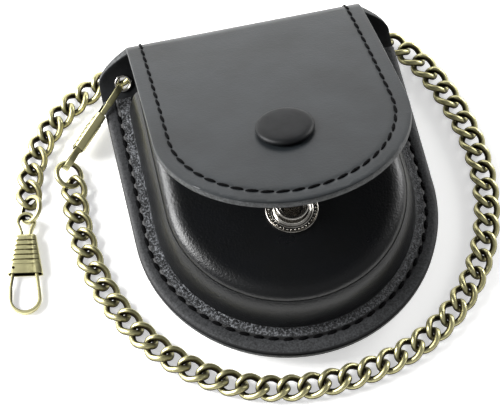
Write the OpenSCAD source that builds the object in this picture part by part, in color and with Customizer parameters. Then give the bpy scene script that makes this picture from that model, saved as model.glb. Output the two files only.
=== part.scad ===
// Moulded leather belt pouch for a hunter pocket watch, with a snap flap, and a curb chain with two clasps.
// It lies on its back. X points right, Y towards the fold at the top, and Z up, away from the belt.
// The origin is on the surface that it lies on, below the centre of the pouch's round end.

/* [Leather] */
// Thickness of the outer leather of the back and flap
outer_leather = 1.1; // [0.8:0.1:1.5]
// Thickness of the suede lining of the back and flap
lining_leather = 0.9; // [0.6:0.1:1.2]
// Thickness of the moulded front leather
shell_leather = 1.2; // [0.8:0.1:1.6]
// Thickness of the belt loop's strap
strap_leather = 1.2; // [0.8:0.1:1.6]

/* [Back] */
// Radius of the round lower end of the back
round_r = 41; // [38:0.5:50]
// Distance from the centre of the round end up to the fold
flat_len = 43.8; // [36:0.2:54]
// How far each ear at the fold stands out past the round end's width
ear_flare = 0.65; // [0:0.05:3]

/* [Flap] */
// Radius of the outer face of the fold over the top
fold_r = 10; // [8:0.5:12.5]
// Half width of the flap
flap_half_w = 32.8; // [26:0.2:38]
// Length of the flap from the fold to its tip
flap_len = 78.5; // [66:0.5:95]
// Distance along the flap from the fold to the snap
snap_from_fold = 51; // [44:0.5:62]
// Radius of the bow along the flap
flap_bow_r = 552; // [400:1:1000]

/* [Watch pocket] */
// Distance from the edge of the back in to the dome's foot
foot_in = 6; // [5:0.1:9]
// Distance from the dome's foot in to the crease between its two steps
crease_in = 4; // [3.5:0.1:7]
// Height of the upper step above the crease
step_rise = 2.5; // [1.5:0.1:4]
// Distance of the dome's centre above that of the back's round end
pocket_y = 1.2; // [0:0.1:3]
// Distance from the centre of the round end up to the pocket's mouth
mouth_y = 39; // [30:0.5:43]

/* [Stitching] */
// Distance from one stitch to the next
stitch_pitch = 3.8; // [2.5:0.1:5]
// Length of thread that shows in one stitch
stitch_len = 2.9; // [1.8:0.1:3.4]
// Distance from the edge of the back in to the seam round the pocket
seam_in = 2.9; // [2:0.1:3.4]
// Distance from the flap's edge to its seam
flap_seam_in = 4; // [2.5:0.1:6]

/* [Belt loop] */
// Room for the belt's thickness under the back
belt_gap = 4.2; // [4.2:0.1:6]
// Room for the belt's width
belt_w = 38; // [30:1:50]
// Width of the strap
strap_w = 38; // [24:1:46]
// Length of each end of the strap that is sewn to the back
strap_tab = 8; // [6:0.5:12]
// Distance of the loop's middle above the centre of the round end
loop_y = 2; // [-2:0.5:4]

/* [Snap] */
// Radius of the cap on the flap
cap_r = 7.5; // [6:0.1:9]
// Height of the cap
cap_h = 2.1; // [1.5:0.1:3]
// Outer radius of the stud's post
stud_r = 4.45; // [3.6:0.05:5.4]
// Height of the stud's post above its base
stud_rise = 2.8; // [2.2:0.1:3.4]
// Radius of the stud's base
stud_base_r = 6.95; // [6.4:0.05:9]
// Radial room between the stud and the socket
snap_room = 0.6; // [0.5:0.05:0.9]
// Radius of the rivet shafts
rivet_r = 1.45; // [1.1:0.05:1.8]

/* [Eyelet] */
// Outer radius of the eyelet's flange
eyelet_r = 2.45; // [2.4:0.05:3.2]
// Radius of the hole through the eyelet
eyelet_hole_r = 1.65; // [1.6:0.05:2]
// Distance from the ear's edge in to the eyelet
eyelet_in = 6.65; // [5:0.05:10]
// Place of the eyelet round the fold, from its lower end
eyelet_angle = 35; // [28:1:42]

/* [Clasps] */
// Thickness of the clasp's strip
strip_t = 0.85; // [0.7:0.05:1]
// Width of the clasp's strip
strip_w = 1.8; // [1.5:0.1:2]
// Radius of the middle of the eye's strip
eye_r = 3.08; // [2.8:0.02:3.6]
// Length of the barrel
barrel_len = 11.1; // [9:0.1:14]
// Half width of the barrel at the eye
barrel_top_w = 2.75; // [2.6:0.05:3.3]
// Half width of the barrel at the hook
barrel_foot_w = 4.7; // [4.5:0.05:5.6]
// Thickness of the barrel over its ribs
barrel_t = 3.3; // [3:0.1:4]
// Radius of the middle of the hook's strip
hook_r = 4.78; // [4.6:0.02:5.6]
// Length from the barrel to the hook's lowest point
hook_len = 11.6; // [10:0.1:14]

/* [Chain] */
// Distance from one link to the next
link_pitch = 5.4; // [4.5:0.1:6.5]
// Thickness of the links' wire
wire_d = 1.8; // [1.4:0.05:1.9]
// Radius of the middle of a jump ring's wire
ring_r = 3.55; // [3.3:0.05:4.2]
// Thickness of a jump ring's wire
ring_wire_d = 1.45; // [1.1:0.05:1.5]

/* [Hidden] */
$fn = 96;
big = 300;

// Colours
black_leather = [0.05, 0.05, 0.06];
suede = [0.08, 0.08, 0.08];
thread = [0.02, 0.02, 0.02];
nickel = [0.72, 0.71, 0.68];
enamel = [0.1, 0.1, 0.11];
old_brass = [0.55, 0.52, 0.36];

// Radii and widths that follow from the back's size
foot_r = round_r - foot_in;
crease_r = foot_r - crease_in;
seam_r = round_r - seam_in;
ear_half_w = round_r + ear_flare;
eyelet_x = ear_half_w - eyelet_in;

// Heights of the layers of the back
back_z = strap_leather + belt_gap;
back_leather = outer_leather + lining_leather;
pocket_floor_z = back_z + back_leather;
flange_z = pocket_floor_z + shell_leather;

// Small gaps and hidden sizes
rivet_room = 0.05;
rivet_head_r = 2.3;
rivet_head_t = 0.45;
thread_w = 0.7;
thread_h = 0.35;

// The fold's centre line, and how far round it each stretch of leather reaches
fold_y = flat_len;
fold_z = back_z + fold_r;
root_end = 58;
fold_end = 150;
ear_start = 39;
ear_end = 118;

// The flap's bow: centre of its arc, and the slope and place of a point at a distance along it
flap_centre_y = fold_y + (fold_r - flap_bow_r) * sin(fold_end);
flap_centre_z = fold_z - (fold_r - flap_bow_r) * cos(fold_end);
function flap_slope(along) = 180 - fold_end - along / flap_bow_r * 180 / PI;
function flap_point(along, radius) = [
    flap_centre_y + radius * sin(flap_slope(along)),
    flap_centre_z + radius * cos(flap_slope(along))
];

// Room between the fold and the flap, which are one strip of leather in the real pouch
fold_room = 0.005;

// Where the socket lands when the flap is closed and level over the stud
function turned(v, a) = [v[0] * cos(a) - v[1] * sin(a), v[0] * sin(a) + v[1] * cos(a)];
snap_open = flap_point(snap_from_fold, flap_bow_r - back_leather);
snap_shut = turned(snap_open - [fold_y, fold_z], flap_slope(snap_from_fold));
stud_y = fold_y + snap_shut[0];
shut_lining_z = fold_z + snap_shut[1];

// How far the belt loop's strap runs along while it rises to the back
loop_ramp = 1.2 * belt_gap;

// The snap's stack of heights, from the closed lining down to the dome's flat top
socket_base_t = 0.4;
stud_base_t = 0.5;
stud_top_gap = 0.25;
bead_rise = 0.4;
socket_foot_gap = 0.15;
socket_bore_r = stud_r + snap_room;
socket_wall = 1.05;
socket_base_r = socket_bore_r + socket_wall + 0.4;
socket_h = socket_base_t + stud_top_gap + stud_rise - bead_rise - socket_foot_gap;
// The flat socket touches the bowed lining at its rim
socket_drop = socket_base_r * socket_base_r / 2 / (flap_bow_r - back_leather) + 0.005;
dome_top_z = shut_lining_z - socket_drop - socket_base_t - stud_top_gap - stud_rise - stud_base_t;
ring_spring_wire_r = 0.22;

// The dome's section: shoulder radii and slope
foot_fillet_r = 1.2;
shoulder_r = 3.2;

// The clasp in its own frame: X across, Y towards the eye, and the barrel's upper edge at Y = 0
barrel_sheet = 0.35;
rib_h = 0.2;
rib_count = 6;
leg_gap = 0.03;
eye_y = 4.1;
eye_cut_y = 2.1;
hook_y = -barrel_len - hook_len + hook_r;
hook_tip_up = 3.5;
gate_w = 1.5;
gate_t = 0.75;
gate_gap = 0.08;
gate_foot_y = hook_y - 0.8;
knuckle_r = 0.85;
pin_r = 0.4;
pin_room = 0.04;
pin_up = 1.6;
leg_top_x = barrel_top_w - barrel_sheet - strip_t / 2 - leg_gap;
leg_foot_x = barrel_foot_w - barrel_sheet - strip_t / 2 - leg_gap;
pin_x = -(barrel_inner_w(pin_up - barrel_len) - knuckle_r - 0.1);
pin_y = pin_up - barrel_len;
function barrel_inner_w(y) =
    barrel_top_w - barrel_sheet - (barrel_foot_w - barrel_top_w) * y / barrel_len;

// The first clasp hangs by its hook in the eyelet: its turn, and where its strip passes through the hole
clasp_1_turn = [-7.91, 66.7, 136.28];
hook_in_eyelet_x = -0.38;
hook_off_middle = [0.31, -0.27];
hook_in_eyelet = [
    hook_in_eyelet_x,
    hook_y - sqrt(hook_r * hook_r - hook_in_eyelet_x * hook_in_eyelet_x),
    0
];
eyelet_mid = [
    -eyelet_x,
    fold_y + (fold_r - back_leather / 2) * sin(eyelet_angle),
    fold_z - (fold_r - back_leather / 2) * cos(eyelet_angle)
];
function turn_x(v, a) = [v[0], v[1] * cos(a) - v[2] * sin(a), v[1] * sin(a) + v[2] * cos(a)];
function turn_y(v, a) = [v[0] * cos(a) + v[2] * sin(a), v[1], v[2] * cos(a) - v[0] * sin(a)];
function turn_z(v, a) = [v[0] * cos(a) - v[1] * sin(a), v[0] * sin(a) + v[1] * cos(a), v[2]];
function turn(v, t) = turn_z(turn_x(turn_y(v, t[1]), t[0]), t[2]);
hole_axis = [0, -sin(eyelet_angle), cos(eyelet_angle)];
clasp_1_along = turn([0, 1, 0], clasp_1_turn);
hole_along = unit(clasp_1_along - (clasp_1_along * hole_axis) * hole_axis);
hook_shift = hook_off_middle[0] * hole_along + hook_off_middle[1] * cross(hole_axis, hole_along);
clasp_1_at = eyelet_mid + hook_shift - turn(hook_in_eyelet, clasp_1_turn);
eye_1 = clasp_1_at + turn([0, eye_y, 0], clasp_1_turn);

// The chain's route: sections of so many links, each link turned so many degrees from the one before
chain_route = [
    [6, 4.1], [6, 5.2], [6, 6.3], [6, 4.6], [6, 6.3], [6, 5.4],
    [6, 4], [6, 10.1], [6, 0.3], [7, 4], [7, 7.9]
];
chain_heading = -97;
link_z = 1.95;
link_twist = 48;
link_end_room = 0.24;
link_side_room = 0.16;
link_half_len = link_pitch / 2 + (wire_d + link_end_room) / 2;
link_half_w = (3 * wire_d + link_side_room) / 2;

// How the first ring lies from the eye, and the first link from the ring, as shares of their two sizes
ring_1_from_eye = [-0.1404, -0.5033, -0.1618];
ring_1_lean = [5.6, 25.5];
link_from_ring_1 = [0.0769, -0.6479];
ring_1_at = eye_1 + (eye_r + ring_r) * ring_1_from_eye;
chain_start = [ring_1_at[0], ring_1_at[1]] + (ring_r + link_half_len) * link_from_ring_1;

// The two end links lie a little turned about their length, and higher than the others
end_link_roll = [2.5, 1.1];
end_link_lift = [0.2, 0.15];
link_steps = 16;
wire_sides = 6;
link_turns = [for (s = chain_route) for (k = [1:s[0]]) s[1]];
link_count = len(link_turns);
function next_link(q, a) = [
    q[0] + link_pitch / 2 * (cos(q[2]) + cos(q[2] + a)),
    q[1] + link_pitch / 2 * (sin(q[2]) + sin(q[2] + a)),
    q[2] + a
];
function walk(i, q) = i == link_count
    ? []
    : concat([q], walk(i + 1, i + 1 < link_count ? next_link(q, link_turns[i + 1]) : q));
link_places = walk(0, [chain_start[0], chain_start[1], chain_heading]);
function links_before(section) = section == 0 ? 0 : links_before(section - 1) + chain_route[section - 1][0];
last_link = link_places[link_count - 1];

// The second ring leans on the surface, and lifts the eye of the second clasp, whose foot lies down
ring_2_from_link = [-0.0256, -0.6871];
ring_2_lean = [-9, -42.3];
floor_room = 0.05;
function ring_lift(lean) = ring_r * sqrt(1 - pow(cos(lean[0]) * cos(lean[1]), 2));
ring_2_at = [
    last_link[0] + (ring_r + link_half_len) * ring_2_from_link[0],
    last_link[1] + (ring_r + link_half_len) * ring_2_from_link[1],
    ring_wire_d / 2 + ring_lift(ring_2_lean) + floor_room
];
clasp_2_turn = [3.4, 0, -10.5];
eye_2_from_ring = [-0.2739, -0.4768];
eye_2_arm = turn([0, eye_y, 0], clasp_2_turn);
clasp_2_at = [
    ring_2_at[0] + (eye_r + ring_r) * eye_2_from_ring[0] - eye_2_arm[0],
    ring_2_at[1] + (eye_r + ring_r) * eye_2_from_ring[1] - eye_2_arm[1],
    barrel_len * sin(clasp_2_turn[0]) + barrel_t / 2 * cos(clasp_2_turn[0])
];

// ---- Shared shapes ----

// Puts a flat shape drawn in Y and Z across the pouch
module across(width) {
    rotate([90, 0, 90]) linear_extrude(height = width, center = true) children();
}

// A wedge from angle a0 to a1, counted from straight down towards +Y
module wedge(a0, a1, reach) {
    steps = 8;
    polygon(concat([[0, 0]], [
        for (i = [0:steps])
            let(a = a0 + (a1 - a0) * i / steps) [reach * sin(a), -reach * cos(a)]
    ]));
}

// The back's outline
module back_outline() {
    union() {
        difference() {
            circle(r = round_r, $fn = 180);
            translate([-big / 2, 0]) square([big, big]);
        }
        polygon([[-round_r, 0], [-ear_half_w, flat_len], [ear_half_w, flat_len], [round_r, 0]]);
    }
}

// Half width of the strip at an angle round the fold: it narrows smoothly from the ears to the flap
function fold_half_w(a) =
    let(t = min(1, max(0, (a - ear_start) / (ear_end - ear_start))))
    ear_half_w + (flap_half_w - ear_half_w) * t * t * (3 - 2 * t);

// The fold's outline seen from behind, pushed through along Y
module fold_outline_block() {
    side = [
        for (a = [ear_start:(ear_end - ear_start) / 8:ear_end + 0.01])
            [fold_half_w(a), fold_z - fold_r * cos(a)]
    ];
    right = concat([[ear_half_w, back_z - 1]], side, [[flap_half_w, fold_z + 2 * fold_r]]);
    left = [for (i = [len(right) - 1:-1:0]) [-right[i][0], right[i][1]]];
    translate([0, big / 2, 0]) rotate([90, 0, 0]) linear_extrude(height = big) polygon(concat(right, left));
}

// One layer of leather round the fold
module fold_layer(r_out, thickness, a0, a1) {
    intersection() {
        translate([0, fold_y, fold_z]) across(3 * ear_half_w) intersection() {
            difference() {
                circle(r = r_out, $fn = 180);
                circle(r = r_out - thickness, $fn = 180);
            }
            wedge(a0, a1, 2 * r_out);
        }
        fold_outline_block();
    }
}

// Puts its children on the fold: Z points to the fold's centre
module at_fold(a, radius) {
    translate([0, fold_y + radius * sin(a), fold_z - radius * cos(a)]) rotate([a, 0, 0]) children();
}

// Puts its children on the flap: Z points out of it, and -Y towards its tip
module at_flap(along, lift) {
    place = flap_point(along, flap_bow_r + lift);
    translate([0, place[0], place[1]]) rotate([-flap_slope(along), 0, 0]) children();
}

// One layer of the flap, whose outer face lies depth below the flap's outer face
module flap_layer(depth, thickness) {
    r_out = flap_bow_r - depth;
    difference() {
        intersection() {
            translate([0, flap_centre_y, flap_centre_z]) across(3 * flap_half_w) intersection() {
                difference() {
                    circle(r = r_out, $fn = 720);
                    circle(r = r_out - thickness, $fn = 720);
                }
                polygon([
                    [0, 0],
                    1.2 * flap_bow_r * [sin(flap_slope(fold_room)), cos(flap_slope(fold_room))],
                    1.2 * flap_bow_r * [sin(flap_slope(1.1 * flap_len)), cos(flap_slope(1.1 * flap_len))]
                ]);
            }
            at_flap(snap_from_fold, 0) linear_extrude(height = 40, center = true)
                translate([0, snap_from_fold]) flap_outline();
        }
        at_flap(snap_from_fold, 0) cylinder(r = rivet_r + rivet_room, h = 20, center = true);
    }
}

// The flap's outline, with the fold at Y = 0 and the tip below it
module flap_outline() {
    straight = flap_len - flap_half_w;
    union() {
        translate([-flap_half_w, -straight]) square([2 * flap_half_w, straight + 5]);
        translate([0, -straight]) circle(r = flap_half_w, $fn = 180);
    }
}

// The dome's outer section from its foot to its middle, moved in by a leather thickness
function arc_points(c, r, a0, a1, steps) = [
    for (i = [0:steps]) let(a = a0 + (a1 - a0) * i / steps) [c[0] + r * cos(a), c[1] + r * sin(a)]
];
function dome_section(inward) =
    let(
        crease_z = dome_top_z - step_rise,
        shoulder_c = [crease_r - 0.2, crease_z - shoulder_r],
        step_c = [crease_r - 0.2 - step_rise, dome_top_z - step_rise],
        foot_c = [foot_r + foot_fillet_r, flange_z + foot_fillet_r],
        all = concat(
            arc_points(foot_c, foot_fillet_r, 270, 180, 4),
            arc_points(shoulder_c, shoulder_r, 0, 80, 6),
            arc_points(step_c, step_rise, 15, 90, 6)
        )
    )
    [for (p = all) p - [inward, inward]];

// The dome as a solid from base_z up, running straight to end_y
module dome_block(inward, base_z, end_y) {
    section = dome_section(inward);
    top = section[len(section) - 1];
    right = concat([[section[0][0], base_z]], section);
    left = [for (i = [len(right) - 1:-1:0]) [-right[i][0], right[i][1]]];
    union() {
        translate([0, pocket_y, 0]) rotate([0, 0, 180])
            rotate_extrude(angle = 180, $fn = 144)
                polygon(concat([[0, base_z]], right, [[0, top[1]]]));
        translate([0, end_y, 0]) rotate([90, 0, 0])
            linear_extrude(height = end_y - pocket_y) polygon(concat(right, left));
    }
}

// One stitch lying on a face, along X
module stitch() {
    translate([-stitch_len / 2, -thread_w / 2, 0]) cube([stitch_len, thread_w, thread_h]);
}

// Stitches round the pocket, as a U whose sides run up to the fold
module pocket_seam() {
    arc_count = round(PI * seam_r / stitch_pitch);
    side_count = floor((flat_len - pocket_y - 1) / stitch_pitch);
    for (i = [0:arc_count - 1])
        let(a = 180 + 180 * (i + 0.5) / arc_count)
            translate([seam_r * cos(a), pocket_y + seam_r * sin(a), 0]) rotate([0, 0, a + 90]) stitch();
    for (side = [-1, 1], i = [0:side_count - 1])
        translate([side * seam_r, pocket_y + (i + 0.5) * stitch_pitch, 0]) rotate([0, 0, 90]) stitch();
}

// Stitches of the flap's seam at a height above its outer face
module flap_seam(lift) {
    r = flap_half_w - flap_seam_in;
    straight = flap_len - flap_half_w;
    side_count = floor((straight - 2) / stitch_pitch);
    arc_count = round(PI * r / stitch_pitch);
    for (side = [-1, 1], i = [0:side_count - 1])
        at_flap(straight - (i + 0.5) * stitch_pitch, lift)
            translate([side * r, 0, 0]) rotate([0, 0, 90]) stitch();
    for (i = [0:arc_count - 1])
        let(a = 180 + 180 * (i + 0.5) / arc_count)
            at_flap(straight - r * sin(a), lift)
                translate([r * cos(a), 0, 0]) rotate([0, 0, a + 90]) stitch();
}

// ---- Leather ----

module back_panel() {
    color(black_leather) difference() {
        union() {
            translate([0, 0, back_z]) linear_extrude(height = outer_leather) back_outline();
            fold_layer(fold_r, outer_leather, 0, root_end);
        }
        eyelet_hole();
    }
}

module back_lining() {
    color(suede) difference() {
        union() {
            translate([0, 0, back_z + outer_leather])
                linear_extrude(height = lining_leather) back_outline();
            fold_layer(fold_r - outer_leather, lining_leather, 0, root_end);
        }
        eyelet_hole();
    }
}

module eyelet_hole() {
    translate([-eyelet_x, 0, 0]) at_fold(eyelet_angle, fold_r)
        translate([0, 0, -back_leather]) cylinder(r = eyelet_tube_r() + rivet_room, h = 3 * back_leather);
}

function eyelet_tube_r() = eyelet_hole_r + 0.3;

module fold_panel() {
    color(black_leather) fold_layer(fold_r, outer_leather, root_end, fold_end);
}

module fold_lining() {
    color(suede) fold_layer(fold_r - outer_leather, lining_leather, root_end, fold_end);
}

module flap_panel() {
    color(black_leather) flap_layer(0, outer_leather);
}

module flap_lining() {
    color(suede) flap_layer(outer_leather, lining_leather);
}

module front_shell() {
    color(black_leather) difference() {
        union() {
            translate([0, 0, pocket_floor_z]) linear_extrude(height = shell_leather) back_outline();
            dome_block(0, pocket_floor_z, mouth_y);
        }
        dome_block(shell_leather, pocket_floor_z - 1, flat_len + 1);
        translate([0, stud_y, 0]) cylinder(r = rivet_r + rivet_room, h = big);
    }
}

module body_stitching() {
    color(thread) {
        translate([0, 0, flange_z]) pocket_seam();
        translate([0, 0, back_z - thread_h]) pocket_seam();
    }
}

module flap_stitching() {
    color(thread) {
        flap_seam(0.01);
        flap_seam(-back_leather - thread_h - 0.01);
    }
}

module belt_loop() {
    flat = belt_w / 2;
    sewn = flat + loop_ramp;
    side = [[flat, strap_leather], [sewn, back_z], [sewn + strap_tab, back_z]];
    upper = concat(
        [for (i = [2:-1:0]) [loop_y - side[i][0], side[i][1]]],
        [for (p = side) [loop_y + p[0], p[1]]]
    );
    lower = [for (i = [len(upper) - 1:-1:0]) upper[i] - [0, strap_leather]];
    color(black_leather) across(strap_w) polygon(concat(upper, lower));
}

module belt_loop_stitching() {
    count = floor((strap_w - stitch_pitch) / stitch_pitch);
    row = belt_w / 2 + loop_ramp + strap_tab / 2;
    color(thread)
        for (y = [loop_y - row, loop_y + row], i = [0:count - 1], z = [belt_gap - thread_h, pocket_floor_z])
            translate([(i - (count - 1) / 2) * stitch_pitch, y, z]) stitch();
}

// ---- Snap and eyelet ----

module snap_cap() {
    bulge = 0.45 * cap_h;
    color(enamel) at_flap(snap_from_fold, 0.06) difference() {
        rotate_extrude($fn = 96) polygon([
            [0, 0], [cap_r - 0.5, 0], [cap_r - 0.1, 0.3 * bulge], [cap_r, bulge],
            [cap_r - 0.2, bulge + 0.4], [cap_r - 0.7, cap_h - 0.35], [cap_r - 1.5, cap_h - 0.08], [0, cap_h]
        ]);
        translate([0, 0, -1]) cylinder(r = rivet_r + rivet_room, h = 1 + 0.5 * cap_h);
    }
}

module snap_cap_rivet() {
    below = back_leather + socket_drop + socket_base_t;
    color(nickel) at_flap(snap_from_fold, 0) rotate_extrude($fn = 48) polygon([
        [0, 0.5 * cap_h], [rivet_r, 0.5 * cap_h], [rivet_r, -below],
        [rivet_head_r, -below], [rivet_head_r - 0.2, -below - rivet_head_t], [0, -below - rivet_head_t]
    ]);
}

module snap_socket() {
    outer = socket_bore_r + socket_wall;
    groove_r = socket_bore_r + 0.55;
    color(nickel) at_flap(snap_from_fold, -back_leather - socket_drop) mirror([0, 0, 1])
        rotate_extrude($fn = 96) polygon([
        [rivet_r + rivet_room, 0], [socket_base_r, 0], [socket_base_r, socket_base_t],
        [outer, socket_base_t + 0.2],
        [outer, socket_h - 0.3], [outer - 0.3, socket_h], [socket_bore_r + 0.1, socket_h],
        [socket_bore_r, socket_h - 0.1], [socket_bore_r, socket_h - 0.5], [groove_r, socket_h - 0.5],
        [groove_r, socket_h - 1.1], [socket_bore_r, socket_h - 1.1], [socket_bore_r, socket_base_t],
        [rivet_r + rivet_room, socket_base_t]
    ]);
}

module snap_ring_spring() {
    ring = socket_bore_r + 0.3;
    color(nickel) at_flap(snap_from_fold, -back_leather - socket_drop) translate([0, 0, 0.8 - socket_h])
        rotate_extrude($fn = 96) translate([ring, 0]) circle(r = ring_spring_wire_r, $fn = 24);
}

module snap_stud() {
    top = stud_base_t + stud_rise;
    inner = stud_r - 1.25;
    color(nickel) translate([0, stud_y, dome_top_z]) rotate_extrude($fn = 96) polygon([
        [rivet_r + rivet_room, 0], [stud_base_r, 0], [stud_base_r, stud_base_t],
        [stud_base_r - 0.25, stud_base_t + bead_rise], [stud_base_r - 0.85, stud_base_t + bead_rise],
        [stud_base_r - 1.1, stud_base_t], [stud_r + 0.75, stud_base_t], [stud_r + 0.65, stud_base_t + 0.25],
        [stud_r, stud_base_t + 0.3], [stud_r - 0.1, top - 1.1], [stud_r, top - 0.6], [stud_r - 0.15, top - 0.2],
        [stud_r - 0.5, top], [inner + 0.3, top], [inner, top - 0.3],
        [inner, stud_base_t], [rivet_r + rivet_room, stud_base_t]
    ]);
}

module snap_stud_rivet() {
    washer_t = 0.5;
    inside = -shell_leather;
    color(nickel) translate([0, stud_y, dome_top_z]) rotate_extrude($fn = 48) polygon([
        [0, inside - washer_t], [4, inside - washer_t], [4, inside], [rivet_r, inside], [rivet_r, stud_base_t],
        [rivet_head_r, stud_base_t], [rivet_head_r - 0.2, stud_base_t + rivet_head_t],
        [0, stud_base_t + rivet_head_t]
    ]);
}

// The eyelet's flange stands on the hollow side of the fold, so it rests on two of its edges
module eyelet() {
    lift = eyelet_r * eyelet_r / 2 / (fold_r - back_leather) + 0.02;
    seat = back_leather + lift;
    color(nickel) translate([-eyelet_x, 0, 0]) at_fold(eyelet_angle, fold_r)
        rotate_extrude($fn = 64) polygon([
            [eyelet_hole_r, -0.45], [eyelet_tube_r(), -0.45], [eyelet_tube_r(), seat], [eyelet_r, seat],
            [eyelet_r, seat + 0.2], [eyelet_r - 0.25, seat + 0.4], [eyelet_hole_r + 0.2, seat + 0.4],
            [eyelet_hole_r, seat + 0.2]
        ]);
}

module eyelet_washer() {
    color(nickel) translate([-eyelet_x, 0, 0]) at_fold(eyelet_angle, fold_r)
        translate([0, 0, -0.42]) difference() {
            cylinder(r = eyelet_r, h = 0.4);
            translate([0, 0, -1]) cylinder(r = eyelet_tube_r() + rivet_room, h = 3);
        }
}

// ---- Clasps ----

module at_clasp(number) {
    place = number == 1 ? clasp_1_at : clasp_2_at;
    t = number == 1 ? clasp_1_turn : clasp_2_turn;
    translate(place) rotate([t[0], 0, t[2]]) rotate([0, t[1], 0]) children();
}

// A straight stretch of strip between two points, cut level at both
module strip_leg(a, b) {
    h = strip_t / 2;
    polygon([[a[0] - h, a[1]], [b[0] - h, b[1]], [b[0] + h, b[1]], [a[0] + h, a[1]]]);
}

module strip_outline() {
    eye_foot_x = sqrt(eye_r * eye_r - (eye_y - eye_cut_y) * (eye_y - eye_cut_y));
    union() {
        difference() {
            translate([0, eye_y]) circle(r = eye_r + strip_t / 2, $fn = 72);
            translate([0, eye_y]) circle(r = eye_r - strip_t / 2, $fn = 72);
            translate([-big / 2, eye_cut_y - big]) square([big, big]);
        }
        for (side = [-1, 1]) strip_leg([side * eye_foot_x, eye_cut_y + 0.01], [side * leg_top_x, 0]);
        strip_leg([-leg_top_x, 0], [-leg_top_x - (leg_foot_x - leg_top_x) / 2.5, -barrel_len / 2.5]);
        strip_leg([leg_top_x, 0], [leg_foot_x, -barrel_len]);
        strip_leg([leg_foot_x, -barrel_len], [hook_r, hook_y]);
        difference() {
            translate([0, hook_y]) circle(r = hook_r + strip_t / 2, $fn = 96);
            translate([0, hook_y]) circle(r = hook_r - strip_t / 2, $fn = 96);
            translate([-big / 2, hook_y]) square([big, big]);
        }
        translate([-hook_r - strip_t / 2, hook_y]) square([strip_t, hook_tip_up]);
    }
}

// One bent strip makes the eye, runs through the barrel and ends as the hook
module clasp_strip(number) {
    color(old_brass) at_clasp(number) linear_extrude(height = strip_w, center = true) strip_outline();
}

module barrel_shape(inset, thickness, extra) {
    linear_extrude(height = thickness, center = true) polygon([
        [inset - barrel_top_w, extra], [barrel_top_w - inset, extra],
        [barrel_foot_w - inset, -barrel_len - extra], [inset - barrel_foot_w, -barrel_len - extra]
    ]);
}

module clasp_barrel(number) {
    plate_t = barrel_t - 2 * rib_h;
    rib_pitch = 0.75 * barrel_len / rib_count;
    color(old_brass) at_clasp(number) difference() {
        union() {
            barrel_shape(0, plate_t, 0);
            for (i = [0:rib_count - 1])
                let(
                    y = -0.09 * barrel_len - i * rib_pitch,
                    half = barrel_top_w - (barrel_foot_w - barrel_top_w) * y / barrel_len - 0.3
                )
                    translate([-half, y - 0.4, -barrel_t / 2]) cube([2 * half, 0.8, barrel_t]);
        }
        barrel_shape(barrel_sheet, plate_t - 2 * barrel_sheet, 0.001);
        translate([pin_x, pin_y, 0]) cylinder(r = pin_r + pin_room, h = 2 * barrel_t, center = true, $fn = 32);
    }
}

// The gate turns on the pin, and closes against the inside of the hook's tip
module clasp_gate(number) {
    outer_x = -hook_r + strip_t / 2 + gate_gap;
    color(old_brass) at_clasp(number) difference() {
        union() {
            translate([pin_x, pin_y, 0]) cylinder(r = knuckle_r, h = gate_w, center = true, $fn = 48);
            linear_extrude(height = gate_w, center = true) polygon([
                [pin_x - knuckle_r + 0.1, pin_y], [outer_x, hook_y + hook_tip_up], [outer_x, gate_foot_y],
                [outer_x + gate_t, gate_foot_y], [outer_x + gate_t, hook_y + hook_tip_up],
                [pin_x + 0.4, pin_y]
            ]);
        }
        translate([pin_x, pin_y, 0]) cylinder(r = pin_r + pin_room, h = 2 * gate_w, center = true, $fn = 32);
    }
}

module clasp_pin(number) {
    color(old_brass) at_clasp(number) translate([pin_x, pin_y, 0])
        cylinder(r = pin_r, h = barrel_t - 2 * rib_h, center = true, $fn = 32);
}

// The gate's spring: a small coil beside the pin, with a leg up the barrel's side
module clasp_spring(number) {
    coil_r = 0.55;
    spring_wire_r = 0.11;
    turns = 3;
    steps = 10;
    points = [
        for (i = [0:turns * steps])
            [coil_r * cos(360 * i / steps), coil_r * sin(360 * i / steps), (i / steps - turns / 2) * 0.3]
    ];
    color(nickel) at_clasp(number) translate([pin_x + 1.9, pin_y + 1.2, 0])
        tube(points, spring_wire_r, 6, false);
}

// ---- Chain ----

function unit(v) = v / norm(v);

// A round wire along a list of points, closed into a loop or with flat ends
module tube(points, radius, sides, closed) {
    n = len(points);
    function at(i) = closed ? points[(i + n) % n] : points[min(n - 1, max(0, i))];
    rings = [
        for (i = [0:n - 1])
            let(
                along = unit(at(i + 1) - at(i - 1)),
                side = unit(cross(along, [0.02, 0.03, 1])),
                up = cross(side, along)
            )
                for (k = [0:sides - 1])
                    at(i) + radius * (side * cos(360 * k / sides) + up * sin(360 * k / sides))
    ];
    last = closed ? n - 1 : n - 2;
    walls = [
        for (i = [0:last], k = [0:sides - 1])
            let(j = (i + 1) % n, m = (k + 1) % sides)
                each [
                    [i * sides + k, j * sides + k, j * sides + m],
                    [i * sides + k, j * sides + m, i * sides + m]
                ]
    ];
    caps = closed ? [] : [
        [for (k = [0:sides - 1]) k],
        [for (k = [sides - 1:-1:0]) (n - 1) * sides + k]
    ];
    polyhedron(points = rings, faces = concat(walls, caps));
}

// A curb link: an oval whose ends are twisted against each other, so that the chain lies flat
function link_points() = [
    for (i = [0:link_steps - 1])
        let(
            a = 360 * i / link_steps,
            x = link_half_len * cos(a),
            y = link_half_w * sin(a),
            lean = -link_twist * cos(a)
        )
            [x, y * cos(lean), y * sin(lean)]
];

module chain_links(section) {
    first = links_before(section);
    color(old_brass)
        for (i = [first:first + chain_route[section][0] - 1])
            let(
                end = i == 0 ? 0 : i == link_count - 1 ? 1 : 2,
                roll = end == 2 ? 0 : end_link_roll[end],
                lift = end == 2 ? 0 : end_link_lift[end]
            )
                translate([link_places[i][0], link_places[i][1], link_z + lift])
                    rotate([roll, 0, link_places[i][2]])
                        tube(link_points(), wire_d / 2, wire_sides, true);
}

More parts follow.
